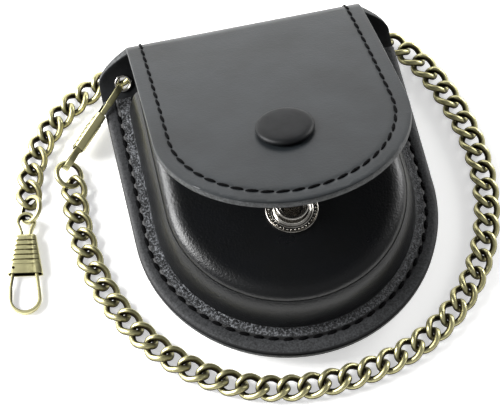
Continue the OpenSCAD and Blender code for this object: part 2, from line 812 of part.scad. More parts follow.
module jump_ring(place, lean) {
    color(old_brass) translate(place) rotate([lean[0], lean[1], 0])
        rotate_extrude($fn = 72) translate([ring_r, 0]) circle(r = ring_wire_d / 2, $fn = 32);
}

back_panel();
back_lining();
fold_panel();
fold_lining();
flap_panel();
flap_lining();
front_shell();
body_stitching();
flap_stitching();
belt_loop();
belt_loop_stitching();
snap_cap();
snap_cap_rivet();
snap_socket();
snap_ring_spring();
snap_stud();
snap_stud_rivet();
eyelet();
eyelet_washer();
clasp_strip(1);  // clasp_1_strip
clasp_barrel(1);  // clasp_1_barrel
clasp_gate(1);  // clasp_1_gate
clasp_pin(1);  // clasp_1_pin
clasp_spring(1);  // clasp_1_spring
clasp_strip(2);  // clasp_2_strip
clasp_barrel(2);  // clasp_2_barrel
clasp_gate(2);  // clasp_2_gate
clasp_pin(2);  // clasp_2_pin
clasp_spring(2);  // clasp_2_spring
jump_ring(ring_1_at, ring_1_lean);  // jump_ring_1
jump_ring(ring_2_at, ring_2_lean);  // jump_ring_2
chain_links(0);  // chain_links_01
chain_links(1);  // chain_links_02
chain_links(2);  // chain_links_03
chain_links(3);  // chain_links_04
chain_links(4);  // chain_links_05
chain_links(5);  // chain_links_06
chain_links(6);  // chain_links_07
chain_links(7);  // chain_links_08
chain_links(8);  // chain_links_09
chain_links(9);  // chain_links_10
chain_links(10);  // chain_links_11
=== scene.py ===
import math

import bmesh
import bpy
from mathutils import Matrix, Vector, noise
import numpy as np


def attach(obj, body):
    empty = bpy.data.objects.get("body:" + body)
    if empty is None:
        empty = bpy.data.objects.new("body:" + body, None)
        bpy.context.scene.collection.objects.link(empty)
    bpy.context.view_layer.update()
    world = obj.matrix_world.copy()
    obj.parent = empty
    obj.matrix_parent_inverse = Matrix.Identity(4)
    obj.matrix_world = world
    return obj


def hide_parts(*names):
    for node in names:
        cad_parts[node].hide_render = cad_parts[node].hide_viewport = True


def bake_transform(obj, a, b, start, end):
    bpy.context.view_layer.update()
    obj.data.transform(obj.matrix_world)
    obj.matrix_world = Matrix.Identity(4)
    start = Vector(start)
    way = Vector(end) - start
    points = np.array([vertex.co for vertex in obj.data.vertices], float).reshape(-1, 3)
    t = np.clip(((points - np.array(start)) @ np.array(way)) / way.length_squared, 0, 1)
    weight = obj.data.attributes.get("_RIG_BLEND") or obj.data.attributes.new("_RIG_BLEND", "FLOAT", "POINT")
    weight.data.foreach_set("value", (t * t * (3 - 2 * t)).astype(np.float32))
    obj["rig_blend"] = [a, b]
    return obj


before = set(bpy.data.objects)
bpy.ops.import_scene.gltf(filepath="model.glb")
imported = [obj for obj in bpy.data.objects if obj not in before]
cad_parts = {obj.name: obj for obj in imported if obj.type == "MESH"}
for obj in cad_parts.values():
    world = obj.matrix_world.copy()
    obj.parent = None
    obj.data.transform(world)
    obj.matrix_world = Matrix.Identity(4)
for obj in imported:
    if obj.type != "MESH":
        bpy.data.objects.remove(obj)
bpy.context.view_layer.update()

# ---- Camera and set ----
# The pouch lies on a sheet of matt white paper inside a light tent: soft panels at the back and sides,
# and a dark opening overhead, which is what leaves the top of the dome black.
MM = 0.001
CAMERA_PLACE = (-53.54, -194.4, 417.65)
CAMERA_DIRECTION = (0.0981, 0.4353, -0.8949)
CAMERA_LENS = 122.4
FLOOR_SIZE = 16000
FLOOR_DROP = 0.05
PAPER_GLOW = 0.5

camera_data = bpy.data.cameras.new("camera")
camera_data.sensor_fit = "HORIZONTAL"
camera_data.sensor_width = 36
camera_data.lens = CAMERA_LENS
camera_data.clip_start = 0.02
camera_data.clip_end = 20
camera = bpy.data.objects.new("camera", camera_data)
camera.location = Vector(CAMERA_PLACE) * MM
camera.rotation_euler = Vector(CAMERA_DIRECTION).to_track_quat("-Z", "Y").to_euler()
bpy.context.scene.collection.objects.link(camera)
bpy.context.scene.camera = camera
bpy.context.scene.view_settings.view_transform = "Standard"


def linear(code):
    """An sRGB hex colour as linear red, green, blue and alpha."""
    parts = [int(code[i:i + 2], 16) / 255 for i in (0, 2, 4)]
    return [p / 12.92 if p < 0.04045 else ((p + 0.055) / 1.055) ** 2.4 for p in parts] + [1.0]


def add_node(tree, kind, settings=None, links=None):
    """Adds a node, sets its properties and unlinked sockets, and links its inputs."""
    node = tree.nodes.new(kind)
    for name, value in (settings or {}).items():
        if isinstance(name, int) or name in node.inputs:
            node.inputs[name].default_value = value
        else:
            setattr(node, name, value)
    for name, source in (links or {}).items():
        tree.links.new(source, node.inputs[name])
    return node


# Matt white paper. A little light of its own is added for what the camera and the metal see, so that it
# stays white there and still keeps the soft shadow
paper = bpy.data.materials.new("matt_white_paper")
paper.use_nodes = True
tree = paper.node_tree
tree.nodes.clear()
path = add_node(tree, "ShaderNodeLightPath")
mirrored = add_node(tree, "ShaderNodeMath", {"operation": "MAXIMUM"},
                    {0: path.outputs["Is Glossy Ray"], 1: path.outputs["Is Transmission Ray"]})
seen = add_node(tree, "ShaderNodeMath", {"operation": "MAXIMUM"},
                {0: path.outputs["Is Camera Ray"], 1: mirrored.outputs[0]})
glow = add_node(tree, "ShaderNodeMath", {"operation": "MULTIPLY", 1: PAPER_GLOW}, {0: seen.outputs[0]})
white = add_node(tree, "ShaderNodeEmission", {"Color": linear("ffffff")}, {"Strength": glow.outputs[0]})
matt = add_node(tree, "ShaderNodeBsdfDiffuse", {"Color": linear("f4f4f2")})
both = add_node(tree, "ShaderNodeAddShader", None, {0: matt.outputs[0], 1: white.outputs[0]})
add_node(tree, "ShaderNodeOutputMaterial", None, {"Surface": both.outputs[0]})

bm = bmesh.new()
bmesh.ops.create_grid(bm, x_segments=2, y_segments=2, size=FLOOR_SIZE / 2 * MM)
bmesh.ops.translate(bm, verts=bm.verts, vec=(0, 0, -FLOOR_DROP * MM))
floor_mesh = bpy.data.meshes.new("floor")
bm.to_mesh(floor_mesh)
bm.free()
floor_mesh.materials.append(paper)
floor = bpy.data.objects.new("floor", floor_mesh)
bpy.context.scene.collection.objects.link(floor)

# The tent is white all round at the horizon. Above that its back is bright and its front dim, and it has a
# dark opening high at the back
TENT_FRONT = 0.3
TENT_BACK = 1.0
TENT_OPENING = 0.03
OPENING_AT = (0.09, 0.42, 0.9)
world = bpy.data.worlds.new("tent")
world.use_nodes = True
tree = world.node_tree
tree.nodes.clear()
direction = add_node(tree, "ShaderNodeTexCoord").outputs["Generated"]
axes = add_node(tree, "ShaderNodeSeparateXYZ", None, {0: direction})
leaning = add_node(tree, "ShaderNodeMath", {"operation": "MULTIPLY_ADD", 1: -0.35},
                   {0: axes.outputs["X"], 2: axes.outputs["Y"]})
wall = add_node(tree, "ShaderNodeMapRange",
                {"interpolation_type": "SMOOTHSTEP", "From Min": -0.4, "From Max": 0.7,
                 "To Min": TENT_FRONT, "To Max": TENT_BACK}, {"Value": leaning.outputs[0]})
towards = add_node(tree, "ShaderNodeVectorMath", {"operation": "DOT_PRODUCT", 1: OPENING_AT},
                   {0: direction})
upper = add_node(tree, "ShaderNodeMapRange",
                 {"interpolation_type": "SMOOTHSTEP", "From Min": 0.7, "From Max": 0.93,
                  "To Max": TENT_OPENING},
                 {"Value": towards.outputs["Value"], "To Min": wall.outputs[0]})
horizon = add_node(tree, "ShaderNodeMapRange",
                   {"interpolation_type": "SMOOTHSTEP", "From Min": 0.08, "From Max": 0.2, "To Min": 1.0,
                    "To Max": 0.0}, {"Value": axes.outputs["Z"]})
level = add_node(tree, "ShaderNodeMath", {"operation": "MAXIMUM"},
                 {0: upper.outputs[0], 1: horizon.outputs[0]})
tent = add_node(tree, "ShaderNodeBackground", {"Color": linear("ffffff")}, {"Strength": level.outputs[0]})
add_node(tree, "ShaderNodeOutputWorld", None, {"Surface": tent.outputs[0]})
bpy.context.scene.world = world

# Each panel: place, the point it faces, its width and height in millimetres, and its power
PANELS = {
    "back_panel_light": ((-60, 900, 330), (0, 0, 10), 900, 420, 1.8),
    "left_panel_light": ((-640, 230, 470), (0, 0, 10), 460, 460, 14.0),
    "right_panel_light": ((650, 330, 300), (0, 0, 10), 380, 300, 3.5),
}
for name, (place, target, width, tall, power) in PANELS.items():
    light = bpy.data.lights.new(name, "AREA")
    light.shape = "RECTANGLE"
    light.size = width * MM
    light.size_y = tall * MM
    light.energy = power
    lamp = bpy.data.objects.new(name, light)
    lamp.location = Vector(place) * MM
    lamp.rotation_euler = (Vector(target) - Vector(place)).to_track_quat("-Z", "Y").to_euler()
    bpy.context.scene.collection.objects.link(lamp)

# ---- Back, fold and flap ----
# One strip of black corrected-grain cowhide, cut flat, runs up the back, over the top and down as the flap.
# It is bonded to its lining and sewn; its cut edges are sanded and painted. It bends at the fold.
ROUND_R = 41
FLAT_LEN = 43.8
EAR_HALF_W = 41.65
FOLD_R = 10
FOLD_END = 150
# The degrees of fold between which the ears narrow to the flap
EAR_START = 39
EAR_END = 118
BACK_Z = 5.4
OUTER_T = 1.1
LINING_T = 0.9
FLAP_HALF_W = 32.8
FLAP_LEN = 78.5
FLAP_BOW_R = 552
FLAP_SEAM_IN = 4
BACK_SEAM_IN = 2.9
FOLD_Z = BACK_Z + FOLD_R
FOLD_LEN = math.radians(FOLD_END) * FOLD_R
FLAP_ARC_AT = FOLD_LEN + FLAP_LEN - FLAP_HALF_W
BOW_Y = FLAT_LEN + (FOLD_R - FLAP_BOW_R) * math.sin(math.radians(FOLD_END))
BOW_Z = FOLD_Z - (FOLD_R - FLAP_BOW_R) * math.cos(math.radians(FOLD_END))
# The heights in the fold, as points in metres, between which the leather takes up the flap's turn
BEND_START = (0, 0.05, 0.0106)
BEND_END = (0, 0.05, 0.0232)
ROW_STEPS = {"back": 5.0, "fold": 0.55, "flap": 2.6}
COLUMN_STEP = 3.6
EYELET_X = 35
EYELET_ANGLE = 35
EYELET_HOLE_R = 2.0
GROOVE_DEPTH = 0.2
GROOVE_W = 0.55
WAVE_H = 0.16
WAVE_ACROSS = 17
WAVE_ALONG = 21


def smooth_step(value, low, high):
    t = min(1.0, max(0.0, (value - low) / (high - low)))
    return t * t * (3 - 2 * t)


def fold_half_width(degrees):
    return EAR_HALF_W + (FLAP_HALF_W - EAR_HALF_W) * smooth_step(degrees, EAR_START, EAR_END)


def bend_strip(across, along, depth):
    """A point of the flat strip, put where the finished pouch holds it. Along is 0 where the fold begins."""
    if along <= 0:
        return Vector((across, FLAT_LEN + along, BACK_Z + depth))
    if along < FOLD_LEN:
        angle = along / FOLD_R
        reach = FOLD_R - depth
        return Vector((across, FLAT_LEN + reach * math.sin(angle), FOLD_Z - reach * math.cos(angle)))
    slope = math.radians(180 - FOLD_END) - (along - FOLD_LEN) / FLAP_BOW_R
    reach = FLAP_BOW_R - depth
    return Vector((across, BOW_Y + reach * math.sin(slope), BOW_Z + reach * math.cos(slope)))


def unevenness(across, along):
    """How far the finished leather departs from its even shape: hand work leaves the flap a little wavy."""
    wave = noise.noise(Vector((across / WAVE_ACROSS, along / WAVE_ALONG, 3.7)))
    return WAVE_H * wave * smooth_step(along, FOLD_LEN - 4, FOLD_LEN + 12)


def strip_outline():
    """The right-hand half of the flat strip's outline, from the round end to the flap's tip."""
    points = [(ROUND_R * math.cos(math.radians(a)), -FLAT_LEN + ROUND_R * math.sin(math.radians(a)))
              for a in range(-87, 0, 3)]
    points += [(ROUND_R + (EAR_HALF_W - ROUND_R) * i / 10, FLAT_LEN * (i / 10 - 1)) for i in range(10)]
    points += [(fold_half_width(a), math.radians(a) * FOLD_R) for a in range(0, FOLD_END, 3)]
    points += [(FLAP_HALF_W, FOLD_LEN + (FLAP_ARC_AT - FOLD_LEN) * i / 12) for i in range(12)]
    points += [(FLAP_HALF_W * math.cos(math.radians(a)),
                FLAP_ARC_AT + FLAP_HALF_W * math.sin(math.radians(a))) for a in range(0, 90, 3)]
    return points


def cut_rows(bm, low, high, step, axis):
    """Cuts the flat sheet across at even steps."""
    count = max(1, round((high - low) / step))
    for i in range(count + 1):
        place = Vector((0, 0, 0))
        normal = Vector((0, 0, 0))
        place[axis] = low + (high - low) * i / count
        normal[axis] = 1
        bmesh.ops.bisect_plane(bm, geom=bm.verts[:] + bm.edges[:] + bm.faces[:],
                               plane_co=place, plane_no=normal, dist=1e-5)


def cut_round_hole(bm, x, y, radius, sides=20):
    """Cuts a round hole out of the flat sheet, one side at a time."""
    centre = Vector((x, y, 0))
    for i in range(sides):
        side = Vector((math.cos(math.tau * i / sides), math.sin(math.tau * i / sides), 0))
        patch = [f for f in bm.faces if (f.calc_center_median() - centre).length < radius + 3]
        parts = set(patch)
        for face in patch:
            parts.update(face.edges)
            parts.update(face.verts)
        bmesh.ops.bisect_plane(bm, geom=list(parts), plane_co=centre + side * radius, plane_no=side,
                               dist=1e-5)
    inside = [f for f in bm.faces if (f.calc_center_median() - centre).length < radius * 0.995]
    bmesh.ops.delete(bm, geom=inside, context="FACES")


def flat_strip(insets):
    """The strip's flat outline, with loops at set distances in from its edge, cut in rows and columns."""
    bm = bmesh.new()
    from_edge = bm.verts.layers.float.new("from_edge")
    right = strip_outline()
    outline = [(0, -FLAT_LEN - ROUND_R)] + right + [(0, FLAP_ARC_AT + FLAP_HALF_W)]
    outline += [(-x, y) for x, y in reversed(right)]
    face = bm.faces.new([bm.verts.new((x, y, 0)) for x, y in outline])
    bm.normal_update()
    reached = 0
    for inset in insets:
        bmesh.ops.inset_region(bm, faces=[face], use_boundary=True, use_even_offset=True,
                               thickness=inset - reached)
        reached = inset
        for vert in face.verts:
            vert[from_edge] = inset
    flap_starts = FOLD_LEN - 3
    bmesh.ops.bisect_plane(bm, geom=bm.verts[:] + bm.edges[:] + bm.faces[:],
                           plane_co=(0, flap_starts, 0), plane_no=(0, 1, 0), dist=1e-5)
    face = max((f for f in bm.faces if f.calc_center_median().y > flap_starts), key=lambda f: f.calc_area())
    for inset in FLAP_INSETS:
        bmesh.ops.inset_region(bm, faces=[face], use_boundary=True, use_even_offset=True, thickness=inset)
    cut_rows(bm, -FLAT_LEN - ROUND_R + 3, -2, ROW_STEPS["back"], 1)
    cut_rows(bm, 0, FOLD_LEN, ROW_STEPS["fold"], 1)
    cut_rows(bm, FOLD_LEN + 2, FOLD_LEN + FLAP_LEN - 2, ROW_STEPS["flap"], 1)
    cut_rows(bm, -EAR_HALF_W + 3, EAR_HALF_W - 3, COLUMN_STEP, 0)
    cut_round_hole(bm, -EYELET_X, math.radians(EYELET_ANGLE) * FOLD_R, EYELET_HOLE_R)
    return bm


def thicken(bm, thickness):
    """Gives a flat sheet its thickness upwards, and returns the vertices of its upper face."""
    bmesh.ops.solidify(bm, geom=bm.faces[:], thickness=thickness)
    if min(v.co.z for v in bm.verts) < -0.5 * thickness:
        bmesh.ops.translate(bm, verts=bm.verts, vec=(0, 0, thickness))
    return [v for v in bm.verts if v.co.z > 0.5 * thickness]


def new_piece(name, bm, *materials, sharp=40):
    """Turns a bmesh drawn in millimetres into an object in metres, smooth but for its sharp edges."""
    bmesh.ops.scale(bm, vec=(MM, MM, MM), verts=bm.verts)
    mesh = bpy.data.meshes.new(name)
    bm.to_mesh(mesh)
    bm.free()
    for material in materials:
        mesh.materials.append(material)
    mesh.shade_smooth()
    mesh.set_sharp_from_angle(angle=math.radians(sharp))
    piece = bpy.data.objects.new(name, mesh)
    bpy.context.scene.collection.objects.link(piece)
    return piece


def new_material(name, settings):
    material = bpy.data.materials.new(name)
    material.use_nodes = True
    shader = material.node_tree.nodes["Principled BSDF"]
    for socket, value in settings.items():
        shader.inputs[socket].default_value = value
    return material, material.node_tree, shader


# Patterns are drawn on the object's own place, turned from metres to millimetres
IN_MM = (1000, 1000, 1000)

# Corrected-grain cowhide with a satin pigment finish: the pores are pressed nearly flat, so it reads as an
# even charcoal black with a wide grey sheen, and faint cloudy patches where the finish is thinner.
satin_leather, tree, shader = new_material(
    "satin_corrected_grain_cowhide", {"Specular IOR Level": 0.42, "IOR": 1.5})
on_object = add_node(tree, "ShaderNodeTexCoord").outputs["Object"]
place = add_node(tree, "ShaderNodeMapping", {"Scale": IN_MM}, {"Vector": on_object}).outputs[0]
clouds = add_node(tree, "ShaderNodeTexNoise", {"Scale": 1 / 14, "Detail": 3, "Roughness": 0.55},
                  {"Vector": place})
thin = add_node(tree, "ShaderNodeMapRange", {"From Min": 0.35, "From Max": 0.65},
                {"Value": clouds.outputs[0]})
black = add_node(tree, "ShaderNodeMix", {"data_type": "RGBA", 6: linear("15181a"), 7: linear("1b1f22")},
                 {0: thin.outputs[0]})
tree.links.new(black.outputs[2], shader.inputs["Base Color"])
sheen = add_node(tree, "ShaderNodeMapRange",
                 {"From Min": 0.3, "From Max": 0.7, "To Min": 0.44, "To Max": 0.38},
                 {"Value": clouds.outputs[0]})
tree.links.new(sheen.outputs[0], shader.inputs["Roughness"])
# The pressed pores are 0.25 mm apart in life, and are drawn at 0.6 mm so that they show
pores = add_node(tree, "ShaderNodeTexNoise", {"Scale": 1 / 0.6, "Detail": 2, "Roughness": 0.55},
                 {"Vector": place})
grain = add_node(tree, "ShaderNodeBump", {"Strength": 1.0, "Distance": 0.03 * MM},
                 {"Height": pores.outputs[0]})
folds = add_node(tree, "ShaderNodeTexNoise", {"Scale": 1 / 5, "Detail": 5, "Roughness": 0.6},
                 {"Vector": place})
creases = add_node(tree, "ShaderNodeBump", {"Strength": 1.0, "Distance": 0.05 * MM},
                   {"Height": folds.outputs[0], "Normal": grain.outputs[0]})
tree.links.new(creases.outputs[0], shader.inputs["Normal"])

# Cut leather edge, sanded and painted black: duller than the face, with the fibres of the two layers showing
# as fine grey lines and scuffs.
painted_edge, tree, shader = new_material(
    "painted_leather_edge", {"Roughness": 0.6, "Specular IOR Level": 0.5, "IOR": 1.5})
on_object = add_node(tree, "ShaderNodeTexCoord").outputs["Object"]
place = add_node(tree, "ShaderNodeMapping", {"Scale": IN_MM}, {"Vector": on_object}).outputs[0]
scuffs = add_node(tree, "ShaderNodeTexNoise", {"Scale": 1 / 0.9, "Detail": 4, "Roughness": 0.7},
                  {"Vector": place})
lightened = add_node(tree, "ShaderNodeMapRange", {"From Min": 0.4, "From Max": 0.7}, {"Value": scuffs.outputs[0]})
paint = add_node(tree, "ShaderNodeMix", {"data_type": "RGBA", 6: linear("1c1e1f"), 7: linear("4a4c4e")},
                 {0: lightened.outputs[0]})
tree.links.new(paint.outputs[2], shader.inputs["Base Color"])
fibres = add_node(tree, "ShaderNodeTexNoise", {"Scale": 1 / 0.5, "Detail": 3, "Roughness": 0.6},
                  {"Vector": place})
rough_cut = add_node(tree, "ShaderNodeBump", {"Strength": 1.0, "Distance": 0.06 * MM},
                     {"Height": fibres.outputs[0]})
tree.links.new(rough_cut.outputs[0], shader.inputs["Normal"])

# Split suede lining: a short dense nap that swallows light, with lighter strokes where it was rubbed
suede, tree, shader = new_material(
    "split_suede", {"Roughness": 0.95, "Specular IOR Level": 0.2, "Sheen Weight": 0.25,
                    "Sheen Roughness": 0.6, "Sheen Tint": linear("55585a")})
on_object = add_node(tree, "ShaderNodeTexCoord").outputs["Object"]
place = add_node(tree, "ShaderNodeMapping", {"Scale": IN_MM}, {"Vector": on_object}).outputs[0]
strokes = add_node(tree, "ShaderNodeTexNoise", {"Scale": 1 / 6, "Detail": 4, "Roughness": 0.6},
                   {"Vector": place})
brushed = add_node(tree, "ShaderNodeMapRange", {"From Min": 0.35, "From Max": 0.65},
                   {"Value": strokes.outputs[0]})
black = add_node(tree, "ShaderNodeMix", {"data_type": "RGBA", 6: linear("121314"), 7: linear("1d1e20")},
                 {0: brushed.outputs[0]})
tree.links.new(black.outputs[2], shader.inputs["Base Color"])
# The nap is about 0.1 mm, and is drawn at 0.35 mm so that it shows
fibres = add_node(tree, "ShaderNodeTexNoise", {"Scale": 1 / 0.35, "Detail": 2, "Roughness": 0.7},
                  {"Vector": place})
nap = add_node(tree, "ShaderNodeBump", {"Strength": 1.0, "Distance": 0.08 * MM},
               {"Height": fibres.outputs[0]})
tree.links.new(nap.outputs[0], shader.inputs["Normal"])

# The loops' distances in from the edge, the further steps in on the flap, and how much the edge is eased at
# the first two loops
INSETS = [0.12, 0.4, 1.5, 2.35, 2.9, 3.45]
FLAP_INSETS = [0.55, 0.6, 0.9]
EDGE_ROUND = {0: 0.32, 0.12: 0.1}


def flap_edge_distance(across, along):
    """How far a point of the flap is in from its edge."""
    if along > FLAP_ARC_AT:
        return FLAP_HALF_W - math.hypot(across, along - FLAP_ARC_AT)
    return fold_half_width(math.degrees(along / FOLD_R)) - abs(across)


def sewn_strip(depth, thickness, rounded_upper):
    """One layer of the strip. Its cut edge is eased on one face, and the outer layer sinks at the seams."""
    bm = flat_strip(INSETS)
    upper = set(thicken(bm, thickness))
    from_edge = bm.verts.layers.float["from_edge"]
    for face in bm.faces:
        if all(v[from_edge] < 0.05 for v in face.verts) and abs(face.normal.z) < 0.5:
            face.material_index = 1
    for vert in bm.verts:
        across, along, lift = vert.co
        inwards = vert[from_edge]
        if (vert in upper) == rounded_upper:
            ease = next((e for d, e in EDGE_ROUND.items() if abs(inwards - d) < 0.03), 0)
            lift += -ease if rounded_upper else ease
            if not rounded_upper:
                from_flap_seam = (flap_edge_distance(across, along) - FLAP_SEAM_IN) / GROOVE_W
                from_back_seam = (inwards - BACK_SEAM_IN) / GROOVE_W
                on_flap = smooth_step(along, 12, 18) * math.exp(-from_flap_seam ** 2)
                on_back = (1 - smooth_step(along, -3, 0)) * math.exp(-from_back_seam ** 2)
                lift += GROOVE_DEPTH * max(on_flap, on_back)
        vert.co = bend_strip(across, along, depth + lift - unevenness(across, along))
    bmesh.ops.recalc_face_normals(bm, faces=bm.faces)
    return bm


outer_strip = new_piece("outer_leather", sewn_strip(0, OUTER_T, False), satin_leather, painted_edge)
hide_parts("back_panel", "fold_panel", "flap_panel")
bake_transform(outer_strip, "pouch", "flap", start=BEND_START, end=BEND_END)

lining_strip = new_piece("suede_lining", sewn_strip(OUTER_T, LINING_T, True), suede, painted_edge)
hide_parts("back_lining", "fold_lining", "flap_lining")
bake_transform(lining_strip, "pouch", "flap", start=BEND_START, end=BEND_END)

# ---- Moulded front ----
# Vegetable-tanned cowhide, wetted and pressed over a stepped round former, then dried hard, dyed black and
# glazed. Its flange is sewn to the back, and the pull of the mould crushes the grain beside the seam.
SHELL_T = 1.2
POCKET_Y = 1.2
MOUTH_Y = 39
FLANGE_Z = BACK_Z + OUTER_T + LINING_T + SHELL_T
FOOT_R = 35
CREASE_R = 31
DOME_TOP_Z = 21.72
STEP_RISE = 2.5
FOOT_FILLET_R = 1.2
SEAM_R = ROUND_R - BACK_SEAM_IN
CREASE_Z = DOME_TOP_Z - STEP_RISE
RIDGE_R = CREASE_R - 4.1
RIDGE_W = 5.05
RIDGE_H = 2.75
SEAM_DIP = 0.25
EAR_FLANGE_IN = 2.3
FLANGE_EDGE_R = 39.5
CRUSHED_FADE = 0.65
SHELL_WAVE_H = 0.08
HOLLOW_H = 0.18
HOLLOWS_FROM_R = 24
SPIN_STEPS = 96
SIDE_ROWS = 18


def arc(centre, radius, start, end, steps):
    return [(centre[0] + radius * math.cos(math.radians(start + (end - start) * i / steps)),
             centre[1] + radius * math.sin(math.radians(start + (end - start) * i / steps)))
            for i in range(steps + 1)]


def outline_reach(x, y):
    """How far the back's edge is from the pocket's centre, in the direction of x, y."""
    length = math.hypot(x, y)
    sine = y / length
    return -POCKET_Y * sine + math.sqrt(ROUND_R ** 2 - POCKET_Y ** 2 * (1 - sine ** 2))


section = [(41, FLANGE_Z - 0.42), (40.78, FLANGE_Z - 0.24), (40.5, FLANGE_Z - 0.06), (39.6, FLANGE_Z + 0.02),
           (38.75, FLANGE_Z + 0.01), (38.45, FLANGE_Z - 0.1), (SEAM_R, FLANGE_Z - SEAM_DIP),
           (37.8, FLANGE_Z - 0.12), (37.6, FLANGE_Z), (37.2, FLANGE_Z + 0.05), (36.8, FLANGE_Z + 0.02)]
section += arc((FOOT_R + FOOT_FILLET_R, FLANGE_Z + FOOT_FILLET_R), FOOT_FILLET_R, 270, 180, 7)
section += [(34.8, 11.2), (34.5, 12.8), (34.15, 14.4), (33.75, 15.9), (33.3, 17.2), (32.95, 17.9),
            (32.55, 18.55), (32.1, CREASE_Z - 0.12), (31.98, CREASE_Z - 0.14), (31.93, CREASE_Z - 0.03)]
section += [(RIDGE_R + RIDGE_W * math.cos(math.radians(a)),
             DOME_TOP_Z - RIDGE_H + RIDGE_H * math.sin(math.radians(a))) for a in range(6, 88, 8)]
section += [(r, DOME_TOP_Z) for r in (26.3, 25, 23, 20, 16, 12, 8, 4, 2, 0)]

bm = bmesh.new()
band = bm.verts.layers.float.new("crushed_band_and_painted_light")
flat = bm.verts.layers.float.new("flange")
painted_groove_shade = bm.verts.layers.float.new("painted_seam_and_rim_shade")
chain = [bm.verts.new((x, 0, z)) for x, z in section]
for vert, (x, z) in zip(chain, section):
    vert[band] = 1.0 if 35.15 < x < 37.55 and z < FLANGE_Z + 0.8 else 0.0
    vert[flat] = 1.0 if x > 36.0 else 0.0
    # Near black in the seam groove as painted shade, and at the flange's outer rim, part black edge paint
    # and part painted shadow line
    vert[painted_groove_shade] = 1.0 if x > 40.7 or 37.55 < x < 38.2 else 0.0
edges = [bm.edges.new(pair) for pair in zip(chain, chain[1:])]
bmesh.ops.spin(bm, geom=chain + edges, cent=(0, 0, 0), axis=(0, 0, -1), angle=math.pi, steps=SPIN_STEPS)
bmesh.ops.remove_doubles(bm, verts=bm.verts, dist=0.001)
bmesh.ops.translate(bm, verts=bm.verts, vec=(0, POCKET_Y, 0))
front = [e for e in bm.edges if all(abs(v.co.y - POCKET_Y) < 1e-4 for v in e.verts)]
for i in range(SIDE_ROWS + 2):
    if i >= SIDE_ROWS:
        front = [e for e in front if all(abs(v.co.x) > FOOT_R + FOOT_FILLET_R - 0.01 for v in e.verts)]
        step = (FLAT_LEN - MOUTH_Y) / 2
    else:
        step = (MOUTH_Y - POCKET_Y) / SIDE_ROWS
    grown = bmesh.ops.extrude_edge_only(bm, edges=front)["geom"]
    bmesh.ops.translate(bm, verts=[g for g in grown if isinstance(g, bmesh.types.BMVert)], vec=(0, step, 0))
    front = [g for g in grown if isinstance(g, bmesh.types.BMEdge)
             and abs(g.verts[0].co.y - g.verts[1].co.y) < 1e-4]
# Past the mouth only the flange goes on, and it is a little wider inwards there
inner = [e for e in bm.edges if e.is_boundary and min(v.co.y for v in e.verts) > MOUTH_Y - 0.1
         and max(abs(v.co.x) for v in e.verts) < FOOT_R + FOOT_FILLET_R + 0.01
         and abs(e.verts[0].co.x - e.verts[1].co.x) < 1e-4
         and abs(e.verts[0].co.z - e.verts[1].co.z) < 1e-4]
grown = bmesh.ops.extrude_edge_only(bm, edges=inner)["geom"]
for vert in grown:
    if isinstance(vert, bmesh.types.BMVert):
        vert.co.x -= math.copysign(EAR_FLANGE_IN, vert.co.x)
# The flange follows the back's edge, and the drying of the mould leaves shallow waves and hollows
for vert in bm.verts:
    x, y, z = vert.co
    # The crushed band fades towards the right, in its wrinkles and its lighter ridges: painted light from
    # the left
    vert[band] *= 1 - CRUSHED_FADE * smooth_step(x, -CREASE_R, CREASE_R)
    if y <= POCKET_Y + 1e-4:
        reach = math.hypot(x, y - POCKET_Y)
        if reach > FLANGE_EDGE_R:
            wider = outline_reach(x, y - POCKET_Y) - ROUND_R
            vert.co += Vector((x, y - POCKET_Y, 0)) / reach * wider
    elif abs(x) > FLANGE_EDGE_R:
        vert.co.x += math.copysign((EAR_HALF_W - ROUND_R) * y / FLAT_LEN, x)
    height_share = smooth_step(z, FLANGE_Z + 1, CREASE_Z)
    wave = noise.noise(Vector((x / 15, y / 15, 8.1)))
    vert.co.z += SHELL_WAVE_H * wave * (1 - smooth_step(z, 21, 21.8))
    hollow = HOLLOW_H * noise.noise(Vector((x / 9, y / 9, z / 9 + 2.3))) * height_share
    outwards = Vector((x, min(0, y - POCKET_Y), 0))
    if outwards.length > HOLLOWS_FROM_R:
        vert.co -= outwards.normalized() * max(0, hollow)
bmesh.ops.recalc_face_normals(bm, faces=bm.faces)
if sum(f.normal.z * f.calc_area() for f in bm.faces) < 0:
    bmesh.ops.reverse_faces(bm, faces=bm.faces)
bmesh.ops.solidify(bm, geom=bm.faces[:], thickness=SHELL_T)

# Glazed moulded cowhide: near black and glossy, with the fine grain breaking up the long highlights on its
# ridges. In the crushed band beside the seam the grain stands up in hard little wrinkles, whose ridges are
# painted lighter, part scuffing and part painted glint; towards the right the band fades, as painted light
# from the left.
glazed_leather, tree, shader = new_material(
    "glazed_moulded_cowhide", {"Specular IOR Level": 0.4, "IOR": 1.5})
on_object = add_node(tree, "ShaderNodeTexCoord").outputs["Object"]
place = add_node(tree, "ShaderNodeMapping", {"Scale": IN_MM}, {"Vector": on_object}).outputs[0]
crushed_and_lit_band = add_node(tree, "ShaderNodeAttribute", {"attribute_name": "crushed_band_and_painted_light"}).outputs["Fac"]
flange = add_node(tree, "ShaderNodeAttribute", {"attribute_name": "flange"}).outputs["Fac"]
painted_seam_shade = add_node(tree, "ShaderNodeAttribute", {"attribute_name": "painted_seam_and_rim_shade"}).outputs["Fac"]
clouds = add_node(tree, "ShaderNodeTexNoise", {"Scale": 1 / 11, "Detail": 3, "Roughness": 0.55},
                  {"Vector": place})
thin = add_node(tree, "ShaderNodeMapRange", {"From Min": 0.35, "From Max": 0.65},
                {"Value": clouds.outputs[0]})
dome_black = add_node(tree, "ShaderNodeMix", {"data_type": "RGBA", 6: linear("070809"), 7: linear("0d0e10")},
                      {0: thin.outputs[0]})
wrinkle = add_node(tree, "ShaderNodeTexNoise", {"Scale": 1 / 0.55, "Detail": 4, "Roughness": 0.75},
                   {"Vector": place})
